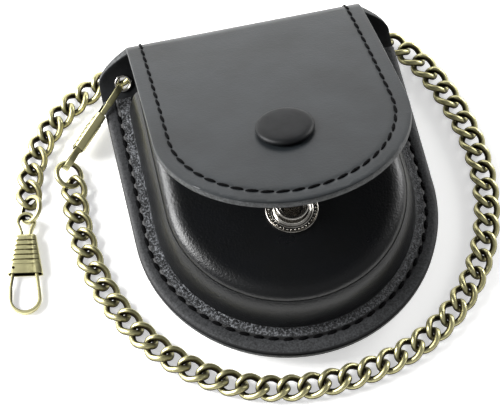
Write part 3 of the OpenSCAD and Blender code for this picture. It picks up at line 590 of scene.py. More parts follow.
streaks = add_node(tree, "ShaderNodeMapRange", {"From Min": 0.4, "From Max": 0.6},
                   {"Value": wrinkle.outputs[0]})
flange_black = add_node(tree, "ShaderNodeMix",
                        {"data_type": "RGBA", 6: linear("1b1c1d"), 7: linear("3a3b3d")},
                        {0: streaks.outputs[0]})
base = add_node(tree, "ShaderNodeMix", {"data_type": "RGBA"},
                {0: flange, 6: dome_black.outputs[2], 7: flange_black.outputs[2]})
ridges = add_node(tree, "ShaderNodeMapRange", {"From Min": 0.48, "From Max": 0.6, "To Max": 0.75},
                  {"Value": wrinkle.outputs[0]})
# The band's wrinkle ridges are painted lighter: part scuffing, part painted glint
scuffs_and_glints = add_node(tree, "ShaderNodeMath", {"operation": "MULTIPLY"}, {0: ridges.outputs[0], 1: crushed_and_lit_band})
lightened = add_node(tree, "ShaderNodeMix", {"data_type": "RGBA", 7: linear("a0a3a8")},
                {0: scuffs_and_glints.outputs[0], 6: base.outputs[2]})
# The seam groove and outer rim are painted near black: painted shade in the groove, edge paint and painted
# shadow at the rim
colour = add_node(tree, "ShaderNodeMix", {"data_type": "RGBA", 7: linear("050506")},
                  {0: painted_seam_shade, 6: lightened.outputs[2]})
tree.links.new(colour.outputs[2], shader.inputs["Base Color"])
gloss = add_node(tree, "ShaderNodeMapRange",
                 {"From Min": 0.3, "From Max": 0.7, "To Min": 0.34, "To Max": 0.27},
                 {"Value": clouds.outputs[0]})
rougher = add_node(tree, "ShaderNodeMath", {"operation": "MULTIPLY_ADD", 1: 0.25},
                   {0: flange, 2: gloss.outputs[0]})
tree.links.new(rougher.outputs[0], shader.inputs["Roughness"])
# The grain is 0.2 mm in life, and is drawn at 0.6 mm so that it shows
pores = add_node(tree, "ShaderNodeTexNoise", {"Scale": 1 / 0.6, "Detail": 2, "Roughness": 0.55},
                 {"Vector": place})
grain = add_node(tree, "ShaderNodeBump", {"Strength": 1.0, "Distance": 0.09 * MM},
                 {"Height": pores.outputs[0]})
level = add_node(tree, "ShaderNodeMath", {"operation": "SUBTRACT", 1: 0.5}, {0: wrinkle.outputs[0]})
folded = add_node(tree, "ShaderNodeMath", {"operation": "MULTIPLY"}, {0: level.outputs[0], 1: crushed_and_lit_band})
wrinkles = add_node(tree, "ShaderNodeBump", {"Strength": 1.0, "Distance": 1.2 * MM},
                    {"Height": folded.outputs[0], "Normal": grain.outputs[0]})
tree.links.new(wrinkles.outputs[0], shader.inputs["Normal"])

shell = new_piece("moulded_front", bm, glazed_leather)
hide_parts("front_shell")
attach(shell, "pouch")

# ---- Seams ----
# Black bonded polyester thread, machine lock-stitched through all the layers. Each stitch pulls down into
# the leather at its two ends, and the twist of the thread sets it a little aslant.
STITCH_PITCH = 3.8
THREAD_H = 0.45
STITCH_SLANT = 7


def add_stitch(bm, place, heading, length=2.8, width=1.2):
    """One stitch at a place matrix, turned by heading degrees in that place's plane."""
    turn = Matrix.Rotation(math.radians(heading + STITCH_SLANT), 4, "Z")
    size = Matrix.Diagonal((length / 2, width / 2, THREAD_H, 1))
    bmesh.ops.create_uvsphere(bm, u_segments=8, v_segments=6, radius=1,
                              matrix=place @ turn @ size @ Matrix.Rotation(math.pi / 2, 4, "Y"))


def pocket_seam(bm, height):
    arc_count = round(math.pi * SEAM_R / STITCH_PITCH)
    for i in range(arc_count):
        angle = 180 + 180 * (i + 0.5) / arc_count
        spot = Vector((SEAM_R * math.cos(math.radians(angle)),
                       POCKET_Y + SEAM_R * math.sin(math.radians(angle)), height))
        add_stitch(bm, Matrix.Translation(spot), angle + 90)
    for side in (-1, 1):
        for i in range(math.floor((FLAT_LEN - POCKET_Y - 1) / STITCH_PITCH)):
            spot = Vector((side * SEAM_R, POCKET_Y + (i + 0.5) * STITCH_PITCH, height))
            add_stitch(bm, Matrix.Translation(spot), 90)


def strip_place(across, along, depth):
    """The place matrix on the strip: its Z points out of the outer face, its Y back along the strip."""
    spot = bend_strip(across, along, depth)
    outwards = (bend_strip(across, along, depth - 1) - spot).normalized()
    back = (bend_strip(across, along - 0.1, depth) - bend_strip(across, along + 0.1, depth)).normalized()
    side = back.cross(outwards)
    return Matrix((side, back, outwards)).transposed().to_4x4(), spot


FLAP_STITCH_LEN = 3.4
FLAP_THREAD_W = 0.85
SEAM_INTO_FOLD = 8


def flap_seam(bm, depth):
    radius = FLAP_HALF_W - FLAP_SEAM_IN
    stitches = []
    for side in (-1, 1):
        along = FLAP_ARC_AT - STITCH_PITCH / 2
        while along > FOLD_LEN - SEAM_INTO_FOLD:
            half = FLAP_HALF_W if along > FOLD_LEN else fold_half_width(math.degrees(along / FOLD_R))
            stitches.append((side * (half - FLAP_SEAM_IN), along, 90))
            along -= STITCH_PITCH
    arc_count = round(math.pi * radius / STITCH_PITCH)
    for i in range(arc_count):
        angle = 180 + 180 * (i + 0.5) / arc_count
        stitches.append((radius * math.cos(math.radians(angle)),
                         FLAP_ARC_AT - radius * math.sin(math.radians(angle)), angle + 90))
    for across, along, heading in stitches:
        turned, spot = strip_place(across, along, depth - unevenness(across, along))
        add_stitch(bm, Matrix.Translation(spot) @ turned, heading, FLAP_STITCH_LEN, FLAP_THREAD_W)


# Bonded polyester thread: near black and almost without shine, with the ridges of its plies across it
thread, tree, shader = new_material(
    "bonded_polyester_thread", {"Roughness": 0.85, "Specular IOR Level": 0.08, "IOR": 1.5})
on_object = add_node(tree, "ShaderNodeTexCoord").outputs["Object"]
place = add_node(tree, "ShaderNodeMapping", {"Scale": IN_MM}, {"Vector": on_object}).outputs[0]
fluff = add_node(tree, "ShaderNodeTexNoise", {"Scale": 1 / 1.2, "Detail": 3, "Roughness": 0.55},
                 {"Vector": place})
faded = add_node(tree, "ShaderNodeMapRange", {"From Min": 0.3, "From Max": 0.7}, {"Value": fluff.outputs[0]})
black = add_node(tree, "ShaderNodeMix", {"data_type": "RGBA", 6: linear("010102"), 7: linear("050506")},
                 {0: faded.outputs[0]})
tree.links.new(black.outputs[2], shader.inputs["Base Color"])
# The plies repeat every 0.3 mm in life, and are drawn at 0.6 mm so that they show
plies = add_node(tree, "ShaderNodeTexWave",
                 {"Scale": 1 / 0.6 / 3, "Distortion": 1.0, "bands_direction": "DIAGONAL"}, {"Vector": place})
twist = add_node(tree, "ShaderNodeBump", {"Strength": 1.0, "Distance": 0.08 * MM},
                 {"Height": plies.outputs["Fac"]})
tree.links.new(twist.outputs[0], shader.inputs["Normal"])

bm = bmesh.new()
pocket_seam(bm, FLANGE_Z - SEAM_DIP + 0.12)
pocket_seam(bm, BACK_Z + 0.1)
pocket_thread = new_piece("pocket_seam_thread", bm, thread, sharp=180)
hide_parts("body_stitching")
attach(pocket_thread, "pouch")

bm = bmesh.new()
flap_seam(bm, 0.1)
flap_seam(bm, OUTER_T + LINING_T)
flap_thread = new_piece("flap_seam_thread", bm, thread, sharp=180)
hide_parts("flap_stitching")
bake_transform(flap_thread, "pouch", "flap", start=BEND_START, end=BEND_END)

# ---- Belt loop ----
# A strap of the same black cowhide, bent outwards behind the back so that a 38 mm belt passes through, and
# sewn to the back at both ends with two rows of thread.
STRAP_W = 38
STRAP_T = 1.2
BELT_HALF = 19
LOOP_Y = 2
LOOP_RAMP = 5.04
STRAP_TAB = 8
STRAP_COLUMNS = 14
bm = bmesh.new()
rise = BACK_Z - STRAP_T
reach = BELT_HALF + LOOP_RAMP
corners = [(reach + STRAP_TAB, rise), (reach, rise), (BELT_HALF, 0), (-BELT_HALF, 0), (-reach, rise),
           (-reach - STRAP_TAB, rise)]
line = [bm.verts.new((-STRAP_W / 2, LOOP_Y + y, z)) for y, z in corners]
edges = [bm.edges.new(pair) for pair in zip(line, line[1:])]
bmesh.ops.bevel(bm, geom=line[1:-1], offset=2.2, segments=6, profile=0.5, affect="VERTICES", material=-1)
for i in range(STRAP_COLUMNS):
    side = -STRAP_W / 2 + STRAP_W * i / STRAP_COLUMNS
    grow = [e for e in bm.edges if all(abs(v.co.x - side) < 1e-4 for v in e.verts)]
    grown = bmesh.ops.extrude_edge_only(bm, edges=grow)["geom"]
    bmesh.ops.translate(bm, verts=[g for g in grown if isinstance(g, bmesh.types.BMVert)],
                        vec=(STRAP_W / STRAP_COLUMNS, 0, 0))
bmesh.ops.recalc_face_normals(bm, faces=bm.faces)
if sum(f.normal.z * f.calc_area() for f in bm.faces) > 0:
    bmesh.ops.reverse_faces(bm, faces=bm.faces)
bmesh.ops.solidify(bm, geom=bm.faces[:], thickness=STRAP_T)
rim = [e for e in bm.edges if e.calc_face_angle(0) > 1.2]
bmesh.ops.bevel(bm, geom=rim, offset=0.25, segments=3, profile=0.5, affect="EDGES", material=-1)
belt_strap = new_piece("belt_strap", bm, satin_leather)
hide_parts("belt_loop")
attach(belt_strap, "pouch")

bm = bmesh.new()
strap_count = math.floor((STRAP_W - STITCH_PITCH) / STITCH_PITCH)
for side in (-1, 1):
    for i in range(strap_count):
        for height in (rise + 0.02, FLANGE_Z - SHELL_T - 0.02):
            spot = Vector(((i - (strap_count - 1) / 2) * STITCH_PITCH,
                           LOOP_Y + side * (reach + STRAP_TAB / 2), height))
            add_stitch(bm, Matrix.Translation(spot), 0)
strap_thread = new_piece("belt_strap_thread", bm, thread, sharp=180)
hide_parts("belt_loop_stitching")
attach(strap_thread, "pouch")

# ---- Snap ----
# A line-24 snap fastener. The cap is pressed brass with a baked satin black enamel; the stud and socket are
# stamped, nickel plated brass, and rivets set them to the leather.
SNAP_ALONG = 51
CAP_H = 2.1
STUD_Y = -6.2
STUD_R = 4.45
STUD_BASE_R = 6.95
STUD_RISE = 2.8
STUD_BASE_T = 0.5
BEAD_COUNT = 38
BEAD_R = 0.24
BEAD_RING_R = 6.06
BEAD_Z = 0.46


def spun(profile, steps=96):
    """A closed shape of revolution about Z, from a profile of radius and height."""
    bm = bmesh.new()
    verts = [bm.verts.new((r, 0, z)) for r, z in profile]
    edges = [bm.edges.new(pair) for pair in zip(verts, verts[1:])]
    bmesh.ops.spin(bm, geom=verts + edges, cent=(0, 0, 0), axis=(0, 0, 1), angle=math.tau, steps=steps,
                   use_merge=True)
    bmesh.ops.remove_doubles(bm, verts=bm.verts, dist=0.0005)
    bmesh.ops.recalc_face_normals(bm, faces=bm.faces)
    return bm


# Baked satin enamel on the pressed cap: charcoal black, smooth, with a soft wide reflection and a slightly
# orange-peeled skin.
satin_enamel, tree, shader = new_material(
    "baked_satin_enamel", {"Specular IOR Level": 0.22, "IOR": 1.5})
on_object = add_node(tree, "ShaderNodeTexCoord").outputs["Object"]
place = add_node(tree, "ShaderNodeMapping", {"Scale": IN_MM}, {"Vector": on_object}).outputs[0]
clouds = add_node(tree, "ShaderNodeTexNoise", {"Scale": 1 / 3, "Detail": 3, "Roughness": 0.55},
                  {"Vector": place})
thin = add_node(tree, "ShaderNodeMapRange", {"From Min": 0.35, "From Max": 0.65},
                {"Value": clouds.outputs[0]})
black = add_node(tree, "ShaderNodeMix", {"data_type": "RGBA", 6: linear("08090b"), 7: linear("0d0f11")},
                 {0: thin.outputs[0]})
tree.links.new(black.outputs[2], shader.inputs["Base Color"])
satin = add_node(tree, "ShaderNodeMapRange",
                 {"From Min": 0.3, "From Max": 0.7, "To Min": 0.5, "To Max": 0.44},
                 {"Value": clouds.outputs[0]})
tree.links.new(satin.outputs[0], shader.inputs["Roughness"])
dimples = add_node(tree, "ShaderNodeTexNoise", {"Scale": 1 / 0.8, "Detail": 2, "Roughness": 0.55},
                   {"Vector": place})
peel = add_node(tree, "ShaderNodeBump", {"Strength": 1.0, "Distance": 0.012 * MM},
                {"Height": dimples.outputs[0]})
tree.links.new(peel.outputs[0], shader.inputs["Normal"])

# Bright nickel plate over stamped brass: a warm silver mirror with fine rubbing marks and a few dull spots
bright_nickel, tree, shader = new_material("bright_nickel_plate", {"Metallic": 1.0})
on_object = add_node(tree, "ShaderNodeTexCoord").outputs["Object"]
place = add_node(tree, "ShaderNodeMapping", {"Scale": IN_MM}, {"Vector": on_object}).outputs[0]
spots = add_node(tree, "ShaderNodeTexNoise", {"Scale": 1 / 2.5, "Detail": 2, "Roughness": 0.55},
                 {"Vector": place})
dull = add_node(tree, "ShaderNodeMapRange", {"From Min": 0.4, "From Max": 0.7}, {"Value": spots.outputs[0]})
silver = add_node(tree, "ShaderNodeMix", {"data_type": "RGBA", 6: linear("b9b6b0"), 7: linear("8f8b84")},
                  {0: dull.outputs[0]})
tree.links.new(silver.outputs[2], shader.inputs["Base Color"])
haze = add_node(tree, "ShaderNodeMapRange",
                {"From Min": 0.35, "From Max": 0.7, "To Min": 0.12, "To Max": 0.22},
                {"Value": spots.outputs[0]})
tree.links.new(haze.outputs[0], shader.inputs["Roughness"])
rubs = add_node(tree, "ShaderNodeTexNoise", {"Scale": 1 / 0.8, "Detail": 1, "Roughness": 0.55},
                {"Vector": place})
marks = add_node(tree, "ShaderNodeBump", {"Strength": 1.0, "Distance": 0.004 * MM},
                 {"Height": rubs.outputs[0]})
tree.links.new(marks.outputs[0], shader.inputs["Normal"])

cap_profile = [(0, CAP_H), (3, CAP_H - 0.03), (5, CAP_H - 0.1), (6.1, CAP_H - 0.19), (6.7, CAP_H - 0.32),
               (7.1, CAP_H - 0.52), (7.36, CAP_H - 0.8), (7.48, CAP_H - 1.1), (7.46, CAP_H - 1.35),
               (7.3, CAP_H - 1.62), (7.0, CAP_H - 1.85), (6.8, CAP_H - 2.04), (6.2, CAP_H - 2.04),
               (0, CAP_H - 2.04)]
bm = spun(cap_profile)
flap_place, spot = strip_place(0, FOLD_LEN + SNAP_ALONG, 0)
bmesh.ops.transform(bm, matrix=Matrix.Translation(spot) @ flap_place, verts=bm.verts)
cap = new_piece("enamel_cap", bm, satin_enamel, sharp=60)
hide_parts("snap_cap")
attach(cap, "flap")

post_top = STUD_BASE_T + STUD_RISE
bore = STUD_R - 1.25
stud_profile = [(1.5, 0), (6.75, 0), (6.9, 0.08), (STUD_BASE_R, 0.25), (6.9, 0.62), (6.78, 0.74),
                (6.62, 0.74), (6.5, 0.6), (6.4, 0.46), (5.7, 0.42), (5.5, 0.5), (5.32, 0.62), (5.15, 0.62),
                (5.0, 0.5), (4.6, 0.7), (4.38, 1.1), (4.3, 1.7), (4.36, 2.2), (4.45, 2.6), (4.43, 2.9),
                (4.3, 3.12), (4.05, 3.26), (3.75, post_top), (3.5, 3.26), (3.3, 3.12), (bore, 2.8),
                (bore, 0.7), (3.0, 0.52), (1.5, 0.5), (1.5, 0)]
bm = spun(stud_profile)
for i in range(BEAD_COUNT):
    angle = math.tau * i / BEAD_COUNT
    spot = (BEAD_RING_R * math.cos(angle), BEAD_RING_R * math.sin(angle), BEAD_Z)
    bmesh.ops.create_icosphere(bm, subdivisions=2, radius=BEAD_R, matrix=Matrix.Translation(spot))
bmesh.ops.translate(bm, verts=bm.verts, vec=(0, STUD_Y, DOME_TOP_Z))
stud = new_piece("beaded_stud", bm, bright_nickel, sharp=50)
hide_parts("snap_stud")
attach(stud, "pouch")

for node in ("snap_cap_rivet", "snap_socket", "snap_ring_spring", "snap_stud_rivet", "eyelet_washer"):
    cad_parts[node].data.materials.clear()
    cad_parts[node].data.materials.append(bright_nickel)

# ---- Eyelet ----
# A nickel plated brass eyelet through the left ear, its barrel pushed through from inside and rolled over a
# washer at the back.
seat = OUTER_T + LINING_T + 0.385
eyelet_profile = [(1.65, -0.42), (1.95, -0.45), (1.95, seat - 0.1), (2.35, seat - 0.02), (2.45, seat + 0.14),
                  (2.4, seat + 0.3), (2.24, seat + 0.4), (2.02, seat + 0.42), (1.8, seat + 0.34),
                  (1.68, seat + 0.15), (1.65, seat - 0.15), (1.65, 1.0), (1.65, -0.42)]
bm = spun(eyelet_profile, 64)
tilt = Matrix.Rotation(math.radians(EYELET_ANGLE), 4, "X")
spot = bend_strip(-EYELET_X, math.radians(EYELET_ANGLE) * FOLD_R, 0)
bmesh.ops.transform(bm, matrix=Matrix.Translation(spot) @ tilt, verts=bm.verts)
rolled_eyelet = new_piece("rolled_eyelet", bm, bright_nickel, sharp=60)
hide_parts("eyelet")
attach(rolled_eyelet, "pouch")

# ---- Clasps ----
# Two spring-gate clasps of brass with an antique finish. One bent strip is both eye and hook, a ribbed sheet
# barrel is crimped round its legs, and a sprung gate turns on a pin in the barrel's foot.
STRIP_T = 0.85
STRIP_W = 1.8
EYE_R = 3.08
EYE_Y = 4.1
EYE_CUT_Y = 2.1
LEG_TOP_X = 1.945
LEG_FOOT_X = 3.895
BARREL_LEN = 11.1
BARREL_TOP_W = 2.75
BARREL_FOOT_W = 4.7
BARREL_T = 3.3
BARREL_SHEET = 0.35
RIB_COUNT = 6
RIB_H = 0.2
HOOK_R = 4.78
HOOK_Y = -17.92
HOOK_TIP_UP = 3.5
GATE_W = 1.5
GATE_T = 0.75
PIN_X = -3.09
PIN_Y = -9.5
# Each clasp: the middle of its barrel's top edge, and its pitch, roll and heading in degrees
CLASPS = {
    1: (Vector((-51.015, 32.8434, 4.5472)), (-7.91, 66.7, 136.28)),
    2: (Vector((-69.2884, 11.0146, 2.3054)), (3.4, 0, -10.5)),
}


def clasp_place(number):
    place, (pitch, roll, heading) = CLASPS[number]
    return (Matrix.Translation(place) @ Matrix.Rotation(math.radians(heading), 4, "Z")
            @ Matrix.Rotation(math.radians(pitch), 4, "X") @ Matrix.Rotation(math.radians(roll), 4, "Y"))


def bent_strip(line, thickness, width, ease=0.16):
    """A flat strip that stands on edge along a line of points in the XY plane."""
    bm = bmesh.new()
    verts = [bm.verts.new((x, y, -width / 2)) for x, y in line]
    edges = [bm.edges.new(pair) for pair in zip(verts, verts[1:])]
    grown = bmesh.ops.extrude_edge_only(bm, edges=edges)["geom"]
    bmesh.ops.translate(bm, verts=[g for g in grown if isinstance(g, bmesh.types.BMVert)], vec=(0, 0, width))
    bmesh.ops.recalc_face_normals(bm, faces=bm.faces)
    bmesh.ops.solidify(bm, geom=bm.faces[:], thickness=thickness)
    bmesh.ops.recalc_face_normals(bm, faces=bm.faces)
    rim = [e for e in bm.edges if e.is_manifold and e.calc_face_angle(0) > 1.0]
    bmesh.ops.bevel(bm, geom=rim, offset=ease, segments=3, profile=0.5, affect="EDGES", material=-1)
    return bm


def centred(line, shift):
    """The line moved sideways by shift, to its left."""
    moved = []
    for i, point in enumerate(line):
        before = Vector(line[max(0, i - 1)])
        after = Vector(line[min(len(line) - 1, i + 1)])
        along = (after - before).normalized()
        moved.append((point[0] - along.y * shift, point[1] + along.x * shift))
    return moved


def paint_rubbing_and_light(bm, lift, centre_of, low, high):
    """Marks each point's brightness: high where it faces out and, as far as lift turns it, up, as rubbed
    brass and painted light; low in the recesses and underneath, as patina and painted shade.
    """
    layer = bm.verts.layers.float.get("rubbing_and_painted_light") or bm.verts.layers.float.new("rubbing_and_painted_light")
    bm.normal_update()
    for vert in bm.verts:
        out = (vert.co - centre_of(vert.co)).normalized() + Vector((0, 0, lift))
        vert[layer] = smooth_step(vert.normal.dot(out.normalized()), low, high)


# Brass with an antique finish: darkened all over in a bath, then rubbed back and lacquered, so that the
# raised faces are a pale greenish yellow and the recesses stay near black brown. The brightness that picks
# between them is also painted light: faces turned up or out are painted lit, undersides and hollows are
# painted in shade.
antique_brass, tree, shader = new_material("antique_finished_brass", {"Metallic": 1.0})
on_object = add_node(tree, "ShaderNodeTexCoord").outputs["Object"]
place = add_node(tree, "ShaderNodeMapping", {"Scale": IN_MM}, {"Vector": on_object}).outputs[0]
# Brightness per point: part rubbing and patina, part painted light and painted shade
rubbed_and_lit = add_node(tree, "ShaderNodeAttribute", {"attribute_name": "rubbing_and_painted_light"}).outputs["Fac"]
patches = add_node(tree, "ShaderNodeTexNoise", {"Scale": 1 / 1.5, "Detail": 4, "Roughness": 0.55},
                   {"Vector": place})
uneven = add_node(tree, "ShaderNodeMath", {"operation": "MULTIPLY_ADD", 1: 0.5, 2: -0.25},
                  {0: patches.outputs[0]})
shade = add_node(tree, "ShaderNodeMath", {"operation": "ADD", "use_clamp": True},
                 {0: rubbed_and_lit, 1: uneven.outputs[0]}).outputs[0]
ramp = add_node(tree, "ShaderNodeValToRGB", None, {"Fac": shade})
ramp.color_ramp.elements[0].position = 0.08
ramp.color_ramp.elements[0].color = linear("2a231c")
ramp.color_ramp.elements[1].position = 0.9
ramp.color_ramp.elements[1].color = linear("cfca9a")
middle = ramp.color_ramp.elements.new(0.55)
middle.color = linear("6e6846")
tree.links.new(ramp.outputs["Color"], shader.inputs["Base Color"])
satin = add_node(tree, "ShaderNodeMapRange", {"To Min": 0.52, "To Max": 0.4}, {"Value": shade})
tree.links.new(satin.outputs[0], shader.inputs["Roughness"])
dents = add_node(tree, "ShaderNodeTexNoise", {"Scale": 1 / 0.7, "Detail": 3, "Roughness": 0.55},
                 {"Vector": place})
tumbled = add_node(tree, "ShaderNodeBump", {"Strength": 1.0, "Distance": 0.02 * MM},
                   {"Height": dents.outputs[0]})
tree.links.new(tumbled.outputs[0], shader.inputs["Normal"])

# Hardened steel spring wire, bare and grey
spring_steel, tree, shader = new_material("bare_spring_steel", {"Metallic": 1.0, "Roughness": 0.35})
on_object = add_node(tree, "ShaderNodeTexCoord").outputs["Object"]
place = add_node(tree, "ShaderNodeMapping", {"Scale": IN_MM}, {"Vector": on_object}).outputs[0]
scale = add_node(tree, "ShaderNodeTexNoise", {"Scale": 1 / 0.8, "Detail": 3, "Roughness": 0.55},
                 {"Vector": place})
grey = add_node(tree, "ShaderNodeMix", {"data_type": "RGBA", 6: linear("8f8f8c"), 7: linear("5c5b58")},
                {0: scale.outputs[0]})
tree.links.new(grey.outputs[2], shader.inputs["Base Color"])
drawing = add_node(tree, "ShaderNodeTexNoise", {"Scale": 1 / 0.3, "Detail": 2, "Roughness": 0.55},
                   {"Vector": place})
marks = add_node(tree, "ShaderNodeBump", {"Strength": 1.0, "Distance": 0.01 * MM},
                 {"Height": drawing.outputs[0]})
tree.links.new(marks.outputs[0], shader.inputs["Normal"])

eye_angle = math.degrees(math.asin((EYE_CUT_Y - EYE_Y) / EYE_R))
strip_line = [(-LEG_TOP_X - 0.78, -BARREL_LEN / 2.5), (-LEG_TOP_X - 0.3, -1.7), (-LEG_TOP_X, 0),
              (-2.12, 1.15)]
strip_line += arc((0, EYE_Y), EYE_R, 180 - eye_angle - 6, eye_angle + 6, 28)
strip_line += [(2.12, 1.15), (LEG_TOP_X, 0), (2.43, -2.8), (2.92, -5.6), (3.4, -8.4),
               (LEG_FOOT_X, -BARREL_LEN), (4.25, -13.6), (4.58, -15.9)]
strip_line += arc((0, HOOK_Y), HOOK_R, 0, -180, 36)
strip_line += [(-HOOK_R, HOOK_Y + 1.2), (-HOOK_R, HOOK_Y + 2.4), (-HOOK_R, HOOK_Y + HOOK_TIP_UP)]
gate_x = -HOOK_R + STRIP_T / 2 + 0.08 + GATE_T / 2
gate_line = [(PIN_X - 0.15, PIN_Y + 0.1), (PIN_X - 0.3, PIN_Y - 1.4), (-3.72, -13.2), (gate_x, HOOK_Y + 3.2),
             (gate_x, HOOK_Y + 1.5), (gate_x, HOOK_Y - 0.8)]


def nearest_loop_centre(point):
    """The middle that a clasp's strip curves round, so that the inner faces of its loops come out darker,
    part patina and part painted shade.
    """
    if point.y > 0:
        return Vector((0, EYE_Y, 0))
    if point.y < -BARREL_LEN:
        return Vector((0, min(point.y, -BARREL_LEN) if point.y > HOOK_Y else HOOK_Y, 0))
    return Vector((0, point.y, 0))


def ribbed_barrel():
    """The crimped barrel: a flattened tapering tube with pressed ribs, open at its foot."""
    bm = bmesh.new()
    lying = Matrix.Translation((0, -BARREL_LEN / 2, 0)) @ Matrix.Rotation(math.pi / 2, 4, "X")
    bmesh.ops.create_cone(bm, cap_ends=False, segments=56, radius1=1, radius2=1, depth=BARREL_LEN,
                          matrix=lying)
    rib_pitch = 0.75 * BARREL_LEN / RIB_COUNT
    ribs = [-0.09 * BARREL_LEN - i * rib_pitch for i in range(RIB_COUNT)]
    cuts = [rib + shift for rib in ribs for shift in (-0.66, -0.5, -0.36, 0, 0.36, 0.5, 0.66)]
    cuts += [-0.12, -BARREL_LEN + 0.12, -BARREL_LEN + 0.5, -BARREL_LEN + 1.2]
    for y in cuts:
        bmesh.ops.bisect_plane(bm, geom=bm.verts[:] + bm.edges[:] + bm.faces[:],
                               plane_co=(0, y, 0), plane_no=(0, 1, 0), dist=1e-5)
    layer = bm.verts.layers.float.new("rubbing_and_painted_light")
    for vert in bm.verts:
        y = vert.co.y
        angle = math.atan2(vert.co.z, vert.co.x)
        half = BARREL_TOP_W - (BARREL_FOOT_W - BARREL_TOP_W) * y / BARREL_LEN
        thick = BARREL_T / 2 - RIB_H
        rib = max(smooth_step(abs(y - r), 0.69, 0.36) for r in ribs)
        ease = 0.1 if y > -0.06 or y < -BARREL_LEN + 0.06 else 0
        power = 2 / 6
        x = (half - ease) * math.copysign(abs(math.cos(angle)) ** power, math.cos(angle))
        z = (thick + RIB_H * rib * smooth_step(half - abs(x), 0.15, 0.7) - ease) * math.copysign(
            abs(math.sin(angle)) ** power, math.sin(angle))
        seam = z > 0 and abs(x - 0.48 * half) < 0.1 * half
        vert.co = Vector((x, y, z - (0.1 if seam else 0)))
        # Darker on the pressed faces between the ribs, part patina and part painted shade, and along the
        # seam line
        pressed = (1 - rib) * smooth_step(half - abs(x), 0.2, 0.7)
        plain = y < ribs[-1] - 0.65 or y > ribs[0] + 0.65
        vert[layer] = 1.0 - (0 if plain else 0.75 * pressed) - (0.3 if seam else 0)
    bmesh.ops.recalc_face_normals(bm, faces=bm.faces)
    bmesh.ops.solidify(bm, geom=bm.faces[:], thickness=BARREL_SHEET)
    bmesh.ops.recalc_face_normals(bm, faces=bm.faces)
    bm.normal_update()
    # The inside of the tube is painted dark: part patina, part painted shade
    for vert in bm.verts:
        if vert.normal.dot(Vector((vert.co.x * 0.3, 0, vert.co.z))) < 0:
            vert[layer] = 0.0
    return bm


for number in CLASPS:
    bm = bent_strip(centred(strip_line, -STRIP_T / 2), STRIP_T, STRIP_W)
    paint_rubbing_and_light(bm, 0.0, nearest_loop_centre, -0.6, 0.35)
    bmesh.ops.transform(bm, matrix=clasp_place(number), verts=bm.verts)
    strip = new_piece(f"clasp_{number}_bent_strip", bm, antique_brass)
    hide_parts(f"clasp_{number}_strip")
    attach(strip, f"clasp_{number}")

    bm = ribbed_barrel()
    bmesh.ops.transform(bm, matrix=clasp_place(number), verts=bm.verts)
    barrel = new_piece(f"clasp_{number}_ribbed_barrel", bm, antique_brass)
    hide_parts(f"clasp_{number}_barrel")
    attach(barrel, f"clasp_{number}")

    bm = bent_strip(centred(gate_line, -GATE_T / 2), GATE_T, GATE_W, 0.14)
    bmesh.ops.create_cone(bm, cap_ends=True, segments=32, radius1=0.8, radius2=0.8, depth=GATE_W,
                          matrix=Matrix.Translation((PIN_X, PIN_Y, 0)))
    paint_rubbing_and_light(bm, 0.0, nearest_loop_centre, -0.6, 0.5)
    bmesh.ops.transform(bm, matrix=clasp_place(number), verts=bm.verts)
    gate = new_piece(f"clasp_{number}_sprung_gate", bm, antique_brass)
    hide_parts(f"clasp_{number}_gate")
    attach(gate, f"gate_{number}")

    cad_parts[f"clasp_{number}_pin"].data.materials.clear()
    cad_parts[f"clasp_{number}_pin"].data.materials.append(antique_brass)
    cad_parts[f"clasp_{number}_spring"].data.materials.clear()
    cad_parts[f"clasp_{number}_spring"].data.materials.append(spring_steel)

# ---- Jump rings ----
# Two jump rings, coiled from round brass wire, cut, and closed on the eye of a clasp and the chain's end
# link. The cut shows as a hairline.
RING_R = 3.55
RING_WIRE_D = 1.45
RING_CUT = 2.2
# Each ring: its centre, its pitch and roll, and the direction of its cut, in degrees
RINGS = {
    1: (Vector((-54.7526, 26.5716, 2.9103)), (5.6, 25.5), 20),
    2: (Vector((-66.7266, 18.2, 3.1992)), (-9, -42.3), 200),
}
for number, (place, (pitch, roll), cut_at) in RINGS.items():
    bm = bmesh.new()
    across = Matrix.Translation((RING_R, 0, 0)) @ Matrix.Rotation(math.pi / 2, 4, "X")
    wire = bmesh.ops.create_circle(bm, cap_ends=False, segments=20, radius=RING_WIRE_D / 2, matrix=across)
    start = wire["verts"][:]
    loop = list({e for v in start for e in v.link_edges})
    bmesh.ops.spin(bm, geom=start + loop, cent=(0, 0, 0), axis=(0, 0, 1),
                   angle=math.radians(360 - RING_CUT), steps=80)
    bmesh.ops.holes_fill(bm, edges=[e for e in bm.edges if e.is_boundary], sides=0)
    bmesh.ops.recalc_face_normals(bm, faces=bm.faces)
    # Top and outer faces are painted bright, the underside and inner face dark: part rubbing and patina,
    # part painted light from above and painted shade
    paint_rubbing_and_light(bm, 0.9, lambda point: Vector((0, 0, 0)), -0.3, 0.5)
    turn = (Matrix.Translation(place) @ Matrix.Rotation(math.radians(pitch), 4, "X")
            @ Matrix.Rotation(math.radians(roll), 4, "Y") @ Matrix.Rotation(math.radians(cut_at), 4, "Z"))
    bmesh.ops.transform(bm, matrix=turn, verts=bm.verts)
    ring = new_piece(f"wire_ring_{number}", bm, antique_brass)
    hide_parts(f"jump_ring_{number}")
    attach(ring, f"ring_{number}")

# ---- Chain ----
# A curb chain of 68 brass links: each is an oval of round wire, twisted so that the links nest and lie flat,
# then soldered, darkened and tumbled bright.
LINK_PITCH = 5.4
LINK_WIRE_D = 1.8
LINK_HALF_LEN = 3.72
LINK_HALF_W = 2.78
LINK_TWIST = 48
LINK_Z = 1.95
ROUND_LINK_R = 10
# Where the first link lies, and its heading in degrees
CHAIN_START = (-54.1935, 21.8614, -97)
